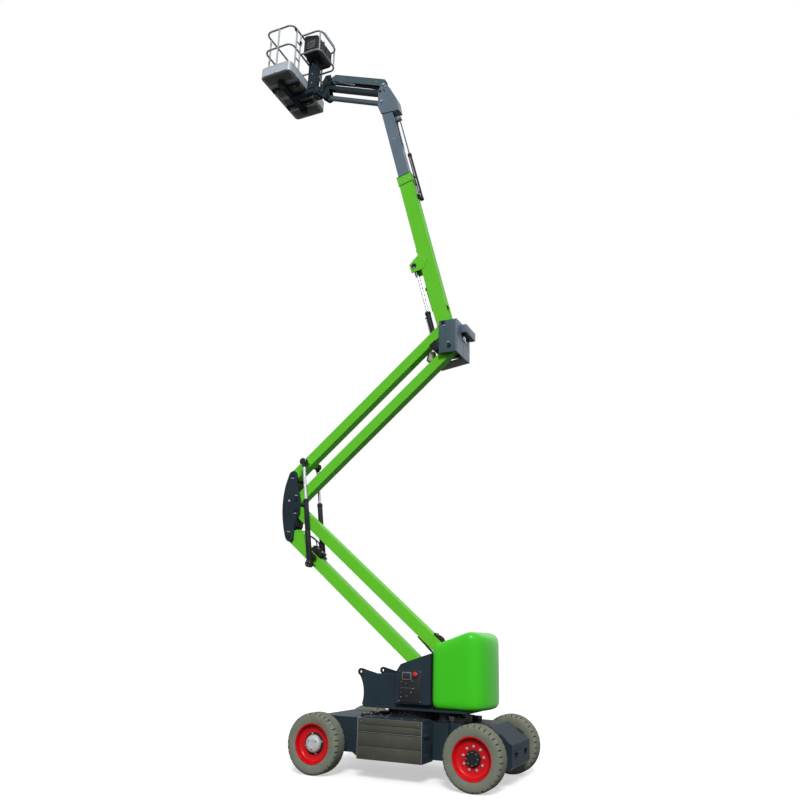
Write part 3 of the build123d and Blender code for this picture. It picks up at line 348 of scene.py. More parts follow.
# %% Pins and directions
lower_way, upper_way, boom_way, jib_way = 140.5, 41.0, 104.8, 156.6
lower_foot, link_foot = (0.247, 1.114), (0.342, 1.485)
mid_4 = beyond(lower_foot, lower_way, 2.980)
mid_3 = (mid_4[0] + 0.095, mid_4[1] + 0.371)
mid_2 = (mid_3[0], mid_3[1] + 0.1595)
mid_1 = (mid_2[0] - 0.095, mid_2[1] + 0.371)
top_2, top_1 = beyond(mid_2, upper_way, 3.205), beyond(mid_1, upper_way, 3.205)
boom_start = beyond(top_1, boom_way, 0, 0.0206)
lift_base = beyond(mid_4, lower_way, -0.60566, 0.047)
lift_eye = beyond(mid_1, upper_way, 0.28544, -0.02289)
ram_foot = (top_1[0] - 0.1764, top_1[1] - 0.24368)
ram_lug = beyond(boom_start, boom_way, 1.14667, 0.21159)
level_head = beyond(boom_start, boom_way, 0.710, 0.125)
level_foot = (top_1[0] - 0.1114, top_1[1] - 0.08868)
jib_pin = beyond(boom_start, boom_way, 4.7943, -0.07571)
jib_link_pin = (jib_pin[0] - 0.063, jib_pin[1] - 0.118)
jib_strut_pin = (jib_pin[0] - 0.025, jib_pin[1] - 0.337)
jib_foot = (jib_pin[0] + 0.030, jib_pin[1] - 0.060)
jib_end = beyond(jib_pin, jib_way, 1.196)
link_end = (jib_end[0] - 0.063, jib_end[1] - 0.118)
strut_end = (jib_end[0] - 0.025, jib_end[1] - 0.337)
ram_head = (jib_end[0] - 0.030, jib_end[1] + 0.050)
rotor_x = jib_end[0] - 0.29737
basket_front, basket_mid = rotor_x - 0.200, rotor_x - 0.510
floor_low = jib_end[1] - 0.25299 + 0.125 + 0.095
rail_top = floor_low + 1.020 - 0.017


def on_link(reach, left, y):
    return at(beyond(link_foot, lower_way, reach, left), y)


def on_boom(reach, left, y):
    return at(beyond(boom_start, boom_way, reach, left), y)


print("boom reaches", [round(v, 3) for v in jib_pin], "rail top", round(rail_top, 3))

# %% [markdown]
# ## Tyres
#
# The real tyres are solid, warm grey and smooth-faced, with short slits cut all round the
# shoulder. A section with rounded shoulders is spun round the axle, and at every fifth step the
# shoulder faces are pushed in to make a slit. The walls of each slit get a near-black rubber, a
# painted shadow for the shade inside it. Boolean cuts would do the same but make untidy meshes.

# %% Tyres with slits
wheel_y, tyre_r, tyre_steps = 0.7425, 0.355, 165
# Near-black rubber for the slit walls: painted shadow for the shade inside each slit.
slit_painted_shadow = finish("slit_shadow_rubber", (0.018, 0.018, 0.016), 0.9, vary=0.2, patch=20)


def tyre(kind, x, where, side):
    bm = bmesh.new()
    centre = Vector((x, side * wheel_y, tyre_r))
    half = [(0.2352, 0.1125), (0.262, 0.1195), (0.285, 0.1215), (0.308, 0.1215), (0.328, 0.1185),
            (0.343, 0.108), (0.352, 0.092), (0.3545, 0.070)]
    section = half + [(0.355, 0.0)] + [(r, -h) for r, h in reversed(half)]
    turned(bm, section, centre, steps=tyre_steps, side=side)
    bmesh.ops.recalc_face_normals(bm, faces=bm.faces[:])
    cut = []
    for face in bm.faces:
        middle = face.calc_center_median() - centre
        reach = (middle.x ** 2 + middle.z ** 2) ** 0.5
        turn = int((Vector((middle.x, middle.z)).angle_signed(Vector((0,
                                                        1))) + pi) / (2 * pi) * tyre_steps)
        if turn % 5 == 0 and reach > 0.322 and abs(middle.y) > 0.076:
            cut.append(face)
    grown = bmesh.ops.extrude_face_region(bm, geom=cut)
    for vert in (g for g in grown["geom"] if isinstance(g, bmesh.types.BMVert)):
        from_axle = vert.co - centre
        ring = Vector((from_axle.x, 0, from_axle.z)).normalized() * 0.30
        vert.co += (ring - from_axle).normalized() * 0.011
    bmesh.ops.delete(bm, geom=cut, context="FACES_ONLY")
    # The pushed-in slit walls take the near-black rubber, a painted shadow.
    for face in (g for g in grown["geom"] if isinstance(g, bmesh.types.BMFace)):
        face.material_index = 1
    return piece(f"slit_tyre_{kind}_{where}", bm, [rubber_grey, slit_painted_shadow], f"{kind}_wheel_{where}",
                 [f"tyre_{kind}_{where}"])


wheels = [("drive", -1.029, "near", -1), ("drive", -1.029, "far", 1), ("steer", 1.029, "near", -1),
          ("steer", 1.029, "far", 1)]
for kind, x, where, side in wheels:
    made = tyre(kind, x, where, side)
    print(made.name, len(made.data.polygons), "faces")

# %% [markdown]
# ## Rims and hubs
#
# A rim is a pressed steel ring with a rounded lip and a deep dish. The driven wheels carry a
# pale cast hub with a ring of dark bolts behind it, and the steered ones a dark cap with nine
# bright nuts around it. All of it is turned work: profiles spun round the axle, then bolts set on
# a circle.

# %% Rims, hubs and nuts
def rim(kind, x, where, side):
    bm = bmesh.new()
    centre = Vector((x, side * wheel_y, tyre_r))
    turned(bm, [
        (0.050, 0.0385), (0.150, 0.0385), (0.176, 0.0400), (0.192, 0.0450), (0.204, 0.0560),
        (0.212, 0.0740), (0.2155, 0.0980), (0.2185, 0.1075), (0.2230, 0.1115), (0.2290, 0.1125),
        (0.2335, 0.1110), (0.2350, 0.1070), (0.2350, -0.1090), (0.2310, -0.1125), (0.2255, -0.1090),
        (0.2235, -0.0400), (0.2130, 0.0050), (0.1980, 0.0220), (0.1750, 0.0265), (0.110, 0.0265),
        (0.110, -0.0195), (0.0345, -0.0195), (0.0345, 0.0265), (0.050, 0.0265),
    ], centre, 0, 72, side)
    face = centre + Vector((0, side * 0.0385, 0))
    if kind == "drive":
        turned(bm, [(0, -0.004), (0.128, -0.004), (0.128, 0.009), (0.124, 0.012), (0.098, 0.012),
                    (0, 0.012)],
               face, 2, 48, side, closed=False)
        turned(bm, [
            (0, 0.008), (0.102, 0.008), (0.102, 0.030), (0.099, 0.043), (0.092, 0.054), (0.080, 0.062),
            (0.062, 0.0665), (0.040, 0.067), (0.036, 0.0645), (0.015, 0.0645), (0, 0.0645),
        ], face, 1, 60, side, closed=False)
        for n in range(12):
            turn = 2 * pi * (n + 0.5) / 12
            spot = face + Vector((0.1135 * cos(turn), side * 0.012, 0.1135 * sin(turn)))
            bolt(bm, spot, (0, side, 0), 0.0085, 0.009, 3 if n % 3 == 0 else 2)
        for n in range(3):
            turn = 2 * pi * n / 3 + 0.5
            spot = face + Vector((0.062 * cos(turn), side * 0.0655, 0.062 * sin(turn)))
            rod(bm, spot, spot + Vector((0, side * 0.004, 0)), 0.008, 2, 12, 0.001)
    else:
        turned(bm, [
            (0, -0.004), (0.092, -0.004), (0.092, 0.012), (0.088, 0.016), (0.082, 0.018), (0.082, 0.040),
            (0.077, 0.047), (0.055, 0.051), (0.052, 0.047), (0.020, 0.047), (0, 0.047),
        ], face, 2, 48, side, closed=False)
        for n in range(8):
            turn = 2 * pi * n / 8
            spot = face + Vector((0.068 * cos(turn), side * 0.048, 0.068 * sin(turn)))
            bolt(bm, spot, (0, side, 0), 0.0055, 0.005, 3, washer=False)
        for n in range(9):
            turn = 2 * pi * n / 9 + 0.15
            spot = face + Vector((0.124 * cos(turn), 0, 0.124 * sin(turn)))
            bolt(bm, spot, (0, side, 0), 0.0125, 0.017, 3)
    return piece(f"rim_{kind}_{where}", bm, [rim_red, steel, black, zinc], f"{kind}_wheel_{where}",
                 [f"wheel_{kind}_{where}"], 30)


for kind, x, where, side in wheels:
    made = rim(kind, x, where, side)
    print(made.name, len(made.data.polygons), "faces")

# %% [markdown]
# ## Chassis and side boxes
#
# The boxes on the sides of the chassis are drawers for batteries: a brushed steel front in four
# strips, with a bright ledge, bright corner posts and small screws. The CAD box stays under
# them in slate, and the strips are thin plates laid on its face.

# %% Side boxes
box_back, box_front = 0.411, -0.435
for where, side in (("near", -1), ("far", 1)):
    bm = bmesh.new()
    mid_x, long = (box_back + box_front) / 2, box_back - box_front
    for low, high in ((0.239, 0.384), (0.389, 0.528), (0.546, 0.618), (0.623, 0.684)):
        block(bm, (mid_x, side * 0.802, (low + high) / 2), (long - 0.030, 0.006, high - low), 0, 0.0015)
    block(bm, (mid_x, side * 0.805, 0.537), (long - 0.006, 0.010, 0.006), 1, 0.002)
    block(bm, (mid_x, side * 0.798, 0.688), (long + 0.004, 0.020, 0.004), 1, 0.001)
    for x in (box_front + 0.006, box_back - 0.006):
        block(bm, (x, side * 0.801, 0.4615), (0.009, 0.010, 0.446), 1, 0.002)
        for z in (0.265, 0.330, 0.430, 0.500, 0.580, 0.650):
            bolt(bm, (x, side * 0.806, z), (0, side, 0), 0.0045, 0.004, 1, washer=False)
    for x in (box_front + 0.050, box_back - 0.050):
        bolt(bm, (x, side * 0.804, 0.652), (0, side, 0), 0.006, 0.005, 1)
    for z in (0.545, 0.330):
        block(bm, (box_back + 0.012, side * 0.70, z), (0.024, 0.18, 0.010), 2, 0.003)
        block(bm, (box_back + 0.022, side * 0.70, z - 0.014), (0.006, 0.18, 0.030), 2, 0.002)
    block(bm, (box_back + 0.004, side * 0.636, 0.45), (0.008, 0.30, 0.40), 2, 0.003)
    block(bm, (mid_x, side * 0.62, 0.692), (long - 0.04, 0.26, 0.012), 2, 0.004)
    for x in (-0.30, -0.10, 0.10, 0.28):
        bolt(bm, (x, side * 0.70, 0.698), (0, 0, 1), 0.008, 0.006, 1)
    piece(f"side_box_panels_{where}", bm, [box_steel, bright_edge, slate], "chassis")
print("side boxes dressed")

# %% [markdown]
# ## Chassis fittings
#
# A bearing with a ring of bolts carries the turret. Round it lie a drive motor, valve blocks and
# hoses, all black and mostly in shade. The sides have tie-down rings, and the steered axle has a
# cylinder and two arms that turn the wheels. The nose has slots, drawn as thin black plates that
# are painted shade for the dark inside of each slot.

# %% Bearing bolts, motor and nose fittings
bm = bmesh.new()
for n in range(28):
    turn = 2 * pi * n / 28
    bolt(bm, (0.312 * cos(turn), 0.312 * sin(turn), 0.655), (0, 0, 1), 0.011, 0.009, 1)
    block(bm, (0.352 * cos(turn), 0.352 * sin(turn), 0.735), (0.020, 0.020, 0.040), 0, 0.004)
rod(bm, (0.47, -0.26, 0.656), (0.47, -0.26, 0.785), 0.065, 0, 32, 0.006)
rod(bm, (0.47, -0.26, 0.655), (0.47, -0.26, 0.675), 0.085, 0, 32, 0.003)
block(bm, (0.70, -0.20, 0.690), (0.16, 0.22, 0.070), 0, 0.006)
block(bm, (0.69, 0.18, 0.682), (0.20, 0.16, 0.054), 0, 0.006)
block(bm, (-0.52, -0.30, 0.677), (0.16, 0.20, 0.044), 0, 0.005)
block(bm, (-0.55, 0.28, 0.672), (0.12, 0.26, 0.034), 0, 0.005)
for x, y in ((-0.57, -0.36), (-0.47, -0.36), (-0.57, -0.24), (-0.47, -0.24)):
    bolt(bm, (x, y, 0.699), (0, 0, 1), 0.008, 0.007, 1)
piece("bearing_and_motor", bm, [black, zinc], "chassis")

bm = bmesh.new()
for side in (-1, 1):
    block(bm, (-0.62, side * 0.4655, 0.452), (1.02, 0.010, 0.008), 0, 0.002)
    for x in (-1.10, -0.60, -0.50):
        bolt(bm, (x, side * 0.465, 0.590), (0, side, 0), 0.010, 0.008, 1)
    turned(bm, [(0.052, -0.004), (0.070, -0.004), (0.070, 0.008), (0.066, 0.012), (0.052, 0.012)],
           (0.90, side * 0.380, 0.545), 0, 32, side)
    block(bm, (1.229, side * 0.3805, 0.52), (0.09, 0.010, 0.10), 0, 0.004, -35)
    block(bm, (-1.203, side * 0.25, 0.44), (0.014, 0.10, 0.14), 0, 0.005)
    rod(bm, (-1.206, side * 0.25, 0.44), (-1.224, side * 0.25, 0.44), 0.030, 1, 24, 0.003)
block(bm, (1.361, 0, 0.405), (0.008, 0.70, 0.010), 0, 0.002)
block(bm, (1.361, 0, 0.245), (0.008, 0.72, 0.010), 0, 0.002)
# Thin black plates on the nose: painted shade standing for the inside of its slots.
for y in (-0.24, -0.08, 0.08, 0.24):
    block(bm, (1.3605, y, 0.325), (0.003, 0.022, 0.070), 2, 0.001)
piece("chassis_fittings", bm, [slate, zinc, black], "chassis")

bm = bmesh.new()
rod(bm, (1.152, -0.26, 0.330), (1.152, 0.26, 0.330), 0.034, 0, 32, 0.004)
rod(bm, (1.152, -0.400, 0.330), (1.152, 0.400, 0.330), 0.015, 1, 20, 0.001)
for side in (-1, 1):
    rod(bm, (1.152, side * 0.265, 0.330), (1.152, side * 0.285, 0.330), 0.038, 0, 32, 0.003)
    rod(bm, (1.152, side * 0.385, 0.330), (1.152, side * 0.425, 0.330), 0.022, 0, 20, 0.003)
    block(bm, (1.124, side * 0.20, 0.345), (0.060, 0.030, 0.070), 0, 0.004)
piece("steering_cylinder", bm, [black, chrome], "chassis")
hose("chassis_hose_near", [(0.38, -0.20, 0.700), (0.46, -0.06, 0.735), (0.60, -0.10, 0.745),
                           (0.70, -0.16, 0.722)],
     0.009, "chassis")
hose("chassis_hose_tail", [(-0.40, -0.10, 0.668), (-0.48, -0.16, 0.705), (-0.56, -0.22, 0.700)], 0.008,
     "chassis")
hose("chassis_hose_far", [(0.30, 0.26, 0.668), (0.42, 0.30, 0.712), (0.56, 0.24, 0.712),
                          (0.64, 0.20, 0.705)],
     0.009, "chassis")
print("chassis fittings done")

# %% [markdown]
# ## Turret and ground controls
#
# The ground control panel is a black plate with a small screen in a grey frame, a red
# mushroom stop button, and rows of switches. Its marks are left off: only plain dots and keys
# stand on it. The same dark plate stands on the far box, without instruments.

# %% The panel
panel_y = -0.459
bm = bmesh.new()
mid_x = 0.0965
block(bm, (mid_x, panel_y, 1.052), (0.304, 0.010, 0.372), 0, 0.006)
block(bm, (0.052, panel_y - 0.008, 1.172), (0.128, 0.014, 0.092), 1, 0.004)
block(bm, (0.052, panel_y - 0.0155, 1.172), (0.100, 0.004, 0.066), 2, 0.002)
for n in range(7):
    rod(bm, (-0.020 + 0.029 * n, panel_y - 0.004, 1.030), (-0.020 + 0.029 * n, panel_y - 0.014, 1.030),
        0.0055, 1, 12, 0.001)
for x, z in ((-0.018, 1.092), (0.052, 1.076), (0.128, 1.110), (0.120, 0.980), (-0.018, 0.972),
             (0.060, 0.935),
             (-0.018, 0.920), (0.140, 1.020)):
    rod(bm, (x, panel_y - 0.004, z), (x, panel_y - 0.010, z), 0.011, 3, 16, 0.001)
    rod(bm, (x, panel_y - 0.010, z), (x + 0.004, panel_y - 0.026, z + 0.006), 0.0038, 4, 10, 0.001)
for x in (-0.046, 0.239):
    for z in (0.880, 1.225):
        bolt(bm, (x, panel_y - 0.004, z), (0, -1, 0), 0.005, 0.004, 4, washer=False)
piece("ground_panel", bm, [plastic, bezel, glass, black, zinc], "turret")

bm = bmesh.new()
stop = Vector((0.172, -0.482, 1.193))
turned(bm, [(0, 0.000), (0.026, 0.000), (0.029, 0.003), (0.030, 0.008), (0.028, 0.013), (0.022, 0.017),
            (0, 0.019)],
       stop, 0, 40, -1, closed=False)
turned(bm, [(0, -0.024), (0.020, -0.024), (0.020, 0.000), (0, 0.000)], stop, 1, 28, -1, closed=False)
piece("ground_stop_button", bm, [stop_red, bezel], "turret")

bm = bmesh.new()
block(bm, (mid_x, 0.452, 1.052), (0.280, 0.006, 0.330), 0, 0.006)
for n in range(6):
    block(bm, (mid_x, 0.457, 0.955 + 0.030 * n), (0.200, 0.006, 0.010), 1, 0.002)
rod(bm, (-0.01, 0.454, 1.175), (-0.01, 0.468, 1.175), 0.016, 2, 20, 0.002)
for x in (-0.030, 0.223):
    for z in (0.905, 1.200):
        bolt(bm, (x, 0.455, z), (0, 1, 0), 0.005, 0.004, 2, washer=False)
piece("far_box_door", bm, [slate, black, zinc], "turret")

# %% [markdown]
# The turret's ears have a welded ring round each hole. Under the cover's tail hangs a dark
# bracket. The cover itself is one smooth moulding.

# %% Ears, deck trim and foot pins
bm = bmesh.new()
ear = (-0.654, 1.190)
for side in (-1, 1):
    for out in (-1, 1):
        turned(bm, [(0.0175, -0.001), (0.036, -0.001), (0.036, 0.004), (0.033, 0.006), (0.0175, 0.006)],
               at(ear, side * 0.330 + out * 0.010), 1, 32, out)
    for n in range(5):
        block(bm, (-0.545 + 0.10 * n, side * 0.341, 0.822), (0.060, 0.006, 0.010), 0, 0.003)
block(bm, (0.835, -0.395, 0.742), (0.055, 0.012, 0.066), 1, 0.003)
block(bm, (0.852, -0.383, 0.766), (0.110, 0.036, 0.012), 1, 0.003)
block(bm, (0.800, -0.392, 0.718), (0.020, 0.018, 0.030), 1, 0.003)
block(bm, (0.70, 0.0, 0.766), (0.18, 0.60, 0.016), 1, 0.004)
piece("turret_trim", bm, [slate, black], "turret")

draft = bpy.data.objects.new("cover_draft", nodes["rear_cover"].data.copy())
scene.collection.objects.link(draft)
draft.matrix_world = nodes["rear_cover"].matrix_world
even = draft.modifiers.new("even faces", "REMESH")
even.mode, even.voxel_size = "VOXEL", 0.012
round_off = draft.modifiers.new("soft crest", "SMOOTH")
round_off.factor, round_off.iterations = 0.5, 150
bpy.context.view_layer.update()
shaped = draft.evaluated_get(bpy.context.evaluated_depsgraph_get())
bm = bmesh.new()
bm.from_mesh(shaped.to_mesh())
bmesh.ops.transform(bm, matrix=draft.matrix_world, verts=bm.verts[:])
bpy.data.objects.remove(draft)
piece("moulded_cover", bm, cover_green, "turret", ["rear_cover"], 60)

bm = bmesh.new()
for side in (-1, 1):
    for pin in (lower_foot, link_foot):
        rod(bm, at(pin, side * 0.122), at(pin, side * 0.132), 0.030, 0, 28, 0.003)
        block(bm, (pin[0] + 0.045, side * 0.124, pin[1] - 0.030), (0.050, 0.006, 0.018), 1, 0.002, 35)
        bolt(bm, (pin[0] + 0.058, side * 0.126, pin[1] - 0.022), (0, side, 0), 0.007, 0.006, 1)
piece("foot_pins", bm, [black, zinc], "turret")
print("turret done")

# %% [markdown]
# ## The riser
#
# Four long square tubes make the riser. Each has weld lines where its end castings begin. At the
# foot of the second tube a black clamp sits on the upper side, and two hoses come out of the
# turret along the lower side.

# %% Weld lines and clamps on the arms
def weld_rings(bm, start, way, reaches, depth, half):
    for reach in reaches:
        spot = beyond(start, way, reach)
        for out in (-1, 1):
            block(bm, at(spot, out * half), (0.006, 0.004, depth - 0.010), 0, 0.0015, way)
            edge = beyond(start, way, reach, out * depth / 2)
            block(bm, at(edge, 0), (0.006, 2 * half - 0.010, 0.004), 0, 0.0015, way)


for name, start, way, length, body in (
    ("lower_arm", lower_foot, lower_way, 2.980, "lower_arm_body"),
    ("lower_link", link_foot, lower_way, 2.980, "lower_link_body"),
    ("upper_arm", mid_2, upper_way, 3.205, "upper_arm_body"),
    ("upper_link", mid_1, upper_way, 3.205, "upper_link_body"),
):
    bm = bmesh.new()
    weld_rings(bm, start, way, (0.150, length - 0.150) if name != "upper_link" else (0.150,), 0.150,
               0.070)
    for pin in (start, beyond(start, way, length)):
        if name == "upper_link" and pin != start:
            continue
        for out in (-1, 1):
            turned(bm, [(0.062, -0.002), (0.072, -0.002), (0.068, 0.005), (0.062, 0.005)],
                   at(pin, out * 0.070), 0,
                   40, out)
    piece(f"{name}_welds", bm, [arm_green], body)

bm = bmesh.new()
block(bm, on_link(0.130, -0.090, 0.0), (0.150, 0.100, 0.030), 0, 0.006, lower_way)
block(bm, on_link(0.100, -0.112, -0.010), (0.070, 0.060, 0.022), 0, 0.006, lower_way)
for y in (-0.036, 0.036):
    bolt(bm, on_link(0.175, -0.105, y), at(beyond((0, 0), lower_way, 0, -1), 0), 0.006, 0.005, 1)
block(bm, on_link(0.330, 0.080, -0.040), (0.030, 0.050, 0.014), 0, 0.004, lower_way)
piece("link_clamps", bm, [black, zinc], "lower_link_body")
for n in range(2):
    y = -0.052 + 0.026 * n
    hose(f"riser_hose_{n}", [on_link(r, h, y) for r, h in (
        (0.02, 0.108), (0.12, 0.100), (0.20, 0.094), (0.28, 0.090), (0.35, 0.086))], 0.0095,
        "lower_link_body")
print("riser tubes done")

# %% [markdown]
# ## The middle knuckle
#
# Two crescent plates hold four pins. Each pin ends in a black cap, held by a bright keeper
# plate with a screw. Between the arms' ends sit black rubber stops.

# %% Pins and keepers of the middle knuckle
def pin_cap(bm, pin, y, side, radius=0.026, keeper=None, number=0, plate=1):
    turned(bm, [(0, -0.002), (radius, -0.002), (radius, 0.008), (radius - 0.004, 0.012),
                (radius * 0.45, 0.012),
                (radius * 0.40, 0.009), (0, 0.009)], at(pin, y), number, 28, side, closed=False)
    if keeper:
        spot = (pin[0] + keeper[0], pin[1] + keeper[1])
        block(bm, at(spot, y + side * 0.003), (0.046, 0.006, 0.014), plate, 0.002, keeper[2])
        bolt(bm, at(spot, y + side * 0.006), (0, side, 0), 0.0065, 0.005, plate, washer=False)


def smooth_loop(points, steps=6):
    """A closed smooth curve through points of the XZ plane."""
    loop = []
    for n, here in enumerate(points):
        before, after, later = points[n - 1], points[(n + 1) % len(points)], points[(n + 2) % len(points)]
        for part in range(steps):
            t = part / steps
            loop.append(tuple(0.5 * (2 * h + (a - b) * t + (2 * b - 5 * h + 4 * a - c) * t ** 2
                                     + (3 * h - b - 3 * a + c) * t ** 3)
                              for b, h, a, c in zip(before, here, after, later)))
    return loop


def plate(bm, outline, inner, outer, number=0, soft=0.002):
    """A flat plate between two depths, cut to an outline in the XZ plane."""
    before = set(bm.faces)
    first = bm.faces.new([bm.verts.new((x, inner, z)) for x, z in outline])
    grown = bmesh.ops.extrude_face_region(bm, geom=[first])["geom"]
    top = [g for g in grown if isinstance(g, bmesh.types.BMFace)]
    bmesh.ops.translate(bm, verts=[g for g in grown if isinstance(g, bmesh.types.BMVert)],
                        vec=(0, outer - inner, 0))
    soften(bm, list({e for f in top for e in f.edges}), soft)
    tint(bm, before, number)


crescent = smooth_loop([
    (mid_1[0] + x, mid_1[1] + z) for x, z in (
        (0.004, 0.062), (-0.052, 0.032), (-0.086, -0.060), (-0.121, -0.183), (-0.142, -0.360),
        (-0.140, -0.540),
        (-0.118, -0.700), (-0.086, -0.840), (-0.050, -0.945), (0.010, -0.994), (0.070, -0.955),
        (0.080, -0.870),
        (0.080, -0.765), (0.115, -0.665), (0.156, -0.570), (0.163, -0.440), (0.146, -0.320),
        (0.102, -0.215),
        (0.078, -0.120), (0.080, -0.020), (0.052, 0.044))])
bm = bmesh.new()
for side in (-1, 1):
    plate(bm, crescent, side * 0.100, side * 0.1195)
    for pin in (mid_1, mid_2, mid_3, mid_4):
        rod(bm, at(pin, 0), at(pin, side * 0.123), 0.022, 1, 24, 0.001)
piece("middle_knuckle_plates", bm, [slate, black], "mid_knuckle_body", ["mid_knuckle"])

bm = bmesh.new()
for side in (-1, 1):
    for pin, keeper in ((mid_1, (0.006, -0.052, -10)), (mid_2, (-0.004, 0.054, -10)),
                        (mid_3, (-0.006, -0.054, 10)),
                        (mid_4, (-0.002, 0.052, -10))):
        pin_cap(bm, pin, side * 0.123, side, 0.029, keeper)
    bolt(bm, at((mid_3[0] - 0.125, mid_3[1] + 0.140), side * 0.120), (0, side, 0), 0.013, 0.008, 2)
for low, high in ((mid_1, mid_2), (mid_4, mid_3)):
    middle = ((low[0] + high[0]) / 2 + 0.020, (low[1] + high[1]) / 2)
    block(bm, at(middle, 0), (0.085, 0.190, 0.120), 3, 0.010)
block(bm, at((mid_3[0] - 0.030, mid_3[1] + 0.080), 0), (0.180, 0.190, 0.026), 0, 0.006)
piece("middle_knuckle_pins", bm, [black, zinc, steel, hose_black], "mid_knuckle_body")

# %% [markdown]
# ## Cylinders
#
# A cylinder's barrel ends in a gland, a slightly larger ring. Ports stand near both ends, and a
# steel line runs between them. The eyes have round caps.

# %% Lift cylinders of the riser
lift_way = (Vector((lift_eye[0] - lift_base[0], lift_eye[1] - lift_base[1]))).normalized()


def on_lift(reach, y, off=0.0):
    return Vector((lift_base[0] + lift_way.x * reach - lift_way.y * off, y,
                   lift_base[1] + lift_way.y * reach + lift_way.x * off))


bm = bmesh.new()
for side in (-1, 1):
    y = side * 0.200
    rod(bm, on_lift(0.020, y), on_lift(0.470, y), 0.0405, 0, 40, 0.004)
    rod(bm, on_lift(0.465, y), on_lift(0.900, y), 0.0370, 0, 40, 0.003)
    rod(bm, on_lift(0.885, y), on_lift(0.932, y), 0.0405, 0, 40, 0.004)
    rod(bm, on_lift(0.928, y), on_lift(0.940, y), 0.029, 0, 32, 0.003)
    for reach in (0.120, 0.840):
        rod(bm, on_lift(reach, y + side * 0.032), on_lift(reach, y + side * 0.056), 0.013, 0, 18, 0.002)
    rod(bm, on_lift(0.120, y + side * 0.049), on_lift(0.840, y + side * 0.049), 0.006, 0, 12, 0.001)
    turned(bm, [(0, -0.072), (0.052, -0.072), (0.052, 0.002), (0.046, 0.008), (0.020, 0.008), (0, 0.008)],
           at(lift_base, side * 0.237), 0, 40, side, closed=False)
    for n in range(4):
        bolt(bm, on_lift(0, side * 0.244) + Vector((0.030 * cos(n * pi / 2 + 0.5), 0,
                                                    0.030 * sin(n * pi / 2 + 0.5))),
             (0, side, 0), 0.005, 0.004, 1, washer=False)
block(bm, on_lift(0.10, -0.13), (0.12, 0.05, 0.10), 0, 0.006, lower_way)
for n in range(4):
    rod(bm, on_lift(0.06 + 0.03 * n, -0.105), on_lift(0.06 + 0.03 * n, -0.155, 0.02), 0.011, n % 2, 12,
        0.001)
piece("riser_cylinder_barrels", bm, [black, zinc], "lift_barrel_body", ["lift_barrels"])

bm = bmesh.new()
for side in (-1, 1):
    turned(bm, [(0, 0), (0.047, 0), (0.047, 0.006), (0.041, 0.012), (0.018, 0.012), (0, 0.012)],
           at(lift_eye, side * 0.237), 0, 40, side, closed=False)
    turned(bm, [(0.034, -0.037), (0.0515, -0.037), (0.0515, 0.0368), (0.034, 0.0368)],
           at(lift_eye, side * 0.200), 0, 40,
           side)
    rod(bm, on_lift(1.425, side * 0.200), on_lift(1.462, side * 0.200), 0.030, 0, 28, 0.003)
piece("riser_cylinder_eyes", bm, [black], "lift_rod_body")

bm = bmesh.new()
valve = beyond(mid_4, lower_way, -0.520, -0.118)


def by_valve(reach, left, y):
    return at(beyond(valve, lower_way, reach, left), y)


block(bm, at(valve, -0.02), (0.200, 0.130, 0.075), 0, 0.006, lower_way)
for n in range(4):
    spot = beyond(valve, lower_way, 0.070 - 0.045 * n, -0.052)
    rod(bm, by_valve(0.070 - 0.045 * n, -0.030, -0.05), at(spot, -0.05), 0.013, n % 2, 16, 0.002)
rod(bm, by_valve(-0.10, 0, -0.02), by_valve(-0.165, 0, -0.02), 0.020, 0, 20, 0.003)
rod(bm, by_valve(-0.165, 0, -0.02), by_valve(-0.175, 0, -0.02), 0.014, 1, 16, 0.002)
piece("valve_block", bm, [black, zinc], "lower_arm_body")
for n in range(4):
    y = -0.085 + 0.030 * n
    hose(f"valve_hose_{n}", [
        by_valve(0.070 - 0.045 * n, -0.050, -0.05),
        by_valve(0.085 - 0.05 * n, -0.095, y),
        by_valve(0.180 - 0.03 * n, -0.120 + 0.01 * n, y),
        by_valve(0.290, -0.070, y * 0.6)], 0.0085, "lower_arm_body")
print("riser cylinders done")

# %% [markdown]
# ## The top knuckle
#
# The near plate is folded at its rear edge. Pins show at its upper front and lower rear corners,
# each with a keeper. Black guides stand between the arms, and a pale nylon pad stands on the lower
# one. A low sensor box hangs on the end plate, over an opening with a bright rod end. The end
# plate, the near fold and the sensor box face +X and take the paler slate: painted light, for the
# light that falls on that face. A black plate and strip along the bottom of the far side are
# painted shade, for the shade under the knuckle.

# %% Plates, pins and pads of the top knuckle
front, back = top_1[0] - 0.0664, top_1[0] + 0.2086
low, high = top_1[1] - 0.46868, top_1[1] + 0.03632
gap_low, gap_high = 5.785, 5.900
bm = bmesh.new()
middle, tall = (low + high) / 2, high - low
for side in (-1, 1):
    block(bm, ((front + back) / 2, side * 0.1475, middle), (back - front, 0.015, tall), 0, 0.003)
    plate(bm, [
        (ram_foot[0] - 0.040, ram_foot[1] - 0.035), (back - 0.010, ram_foot[1] - 0.035),
        (back - 0.010, high - 0.010),
        (top_1[0] - 0.037, top_1[1] + 0.036), (level_foot[0] - 0.030, level_foot[1] + 0.034),
        (ram_foot[0] - 0.046, ram_foot[1] + 0.030)], side * 0.044, side * 0.054, 0)
    # The near fold faces +X and takes the paler slate (index 3): painted light on that face.
    block(bm, (back - 0.012, side * 0.152, middle), (0.022, 0.012, tall - 0.004), 3 if side < 0 else 0,
          0.005)
for pin, radius, reach in ((top_1, 0.024, 0.161), (top_2, 0.024, 0.161), (ram_foot, 0.020, 0.054),
                           (level_foot, 0.014, 0.054)):
    rod(bm, at(pin, -reach), at(pin, reach), radius, 1, 28, 0.001)
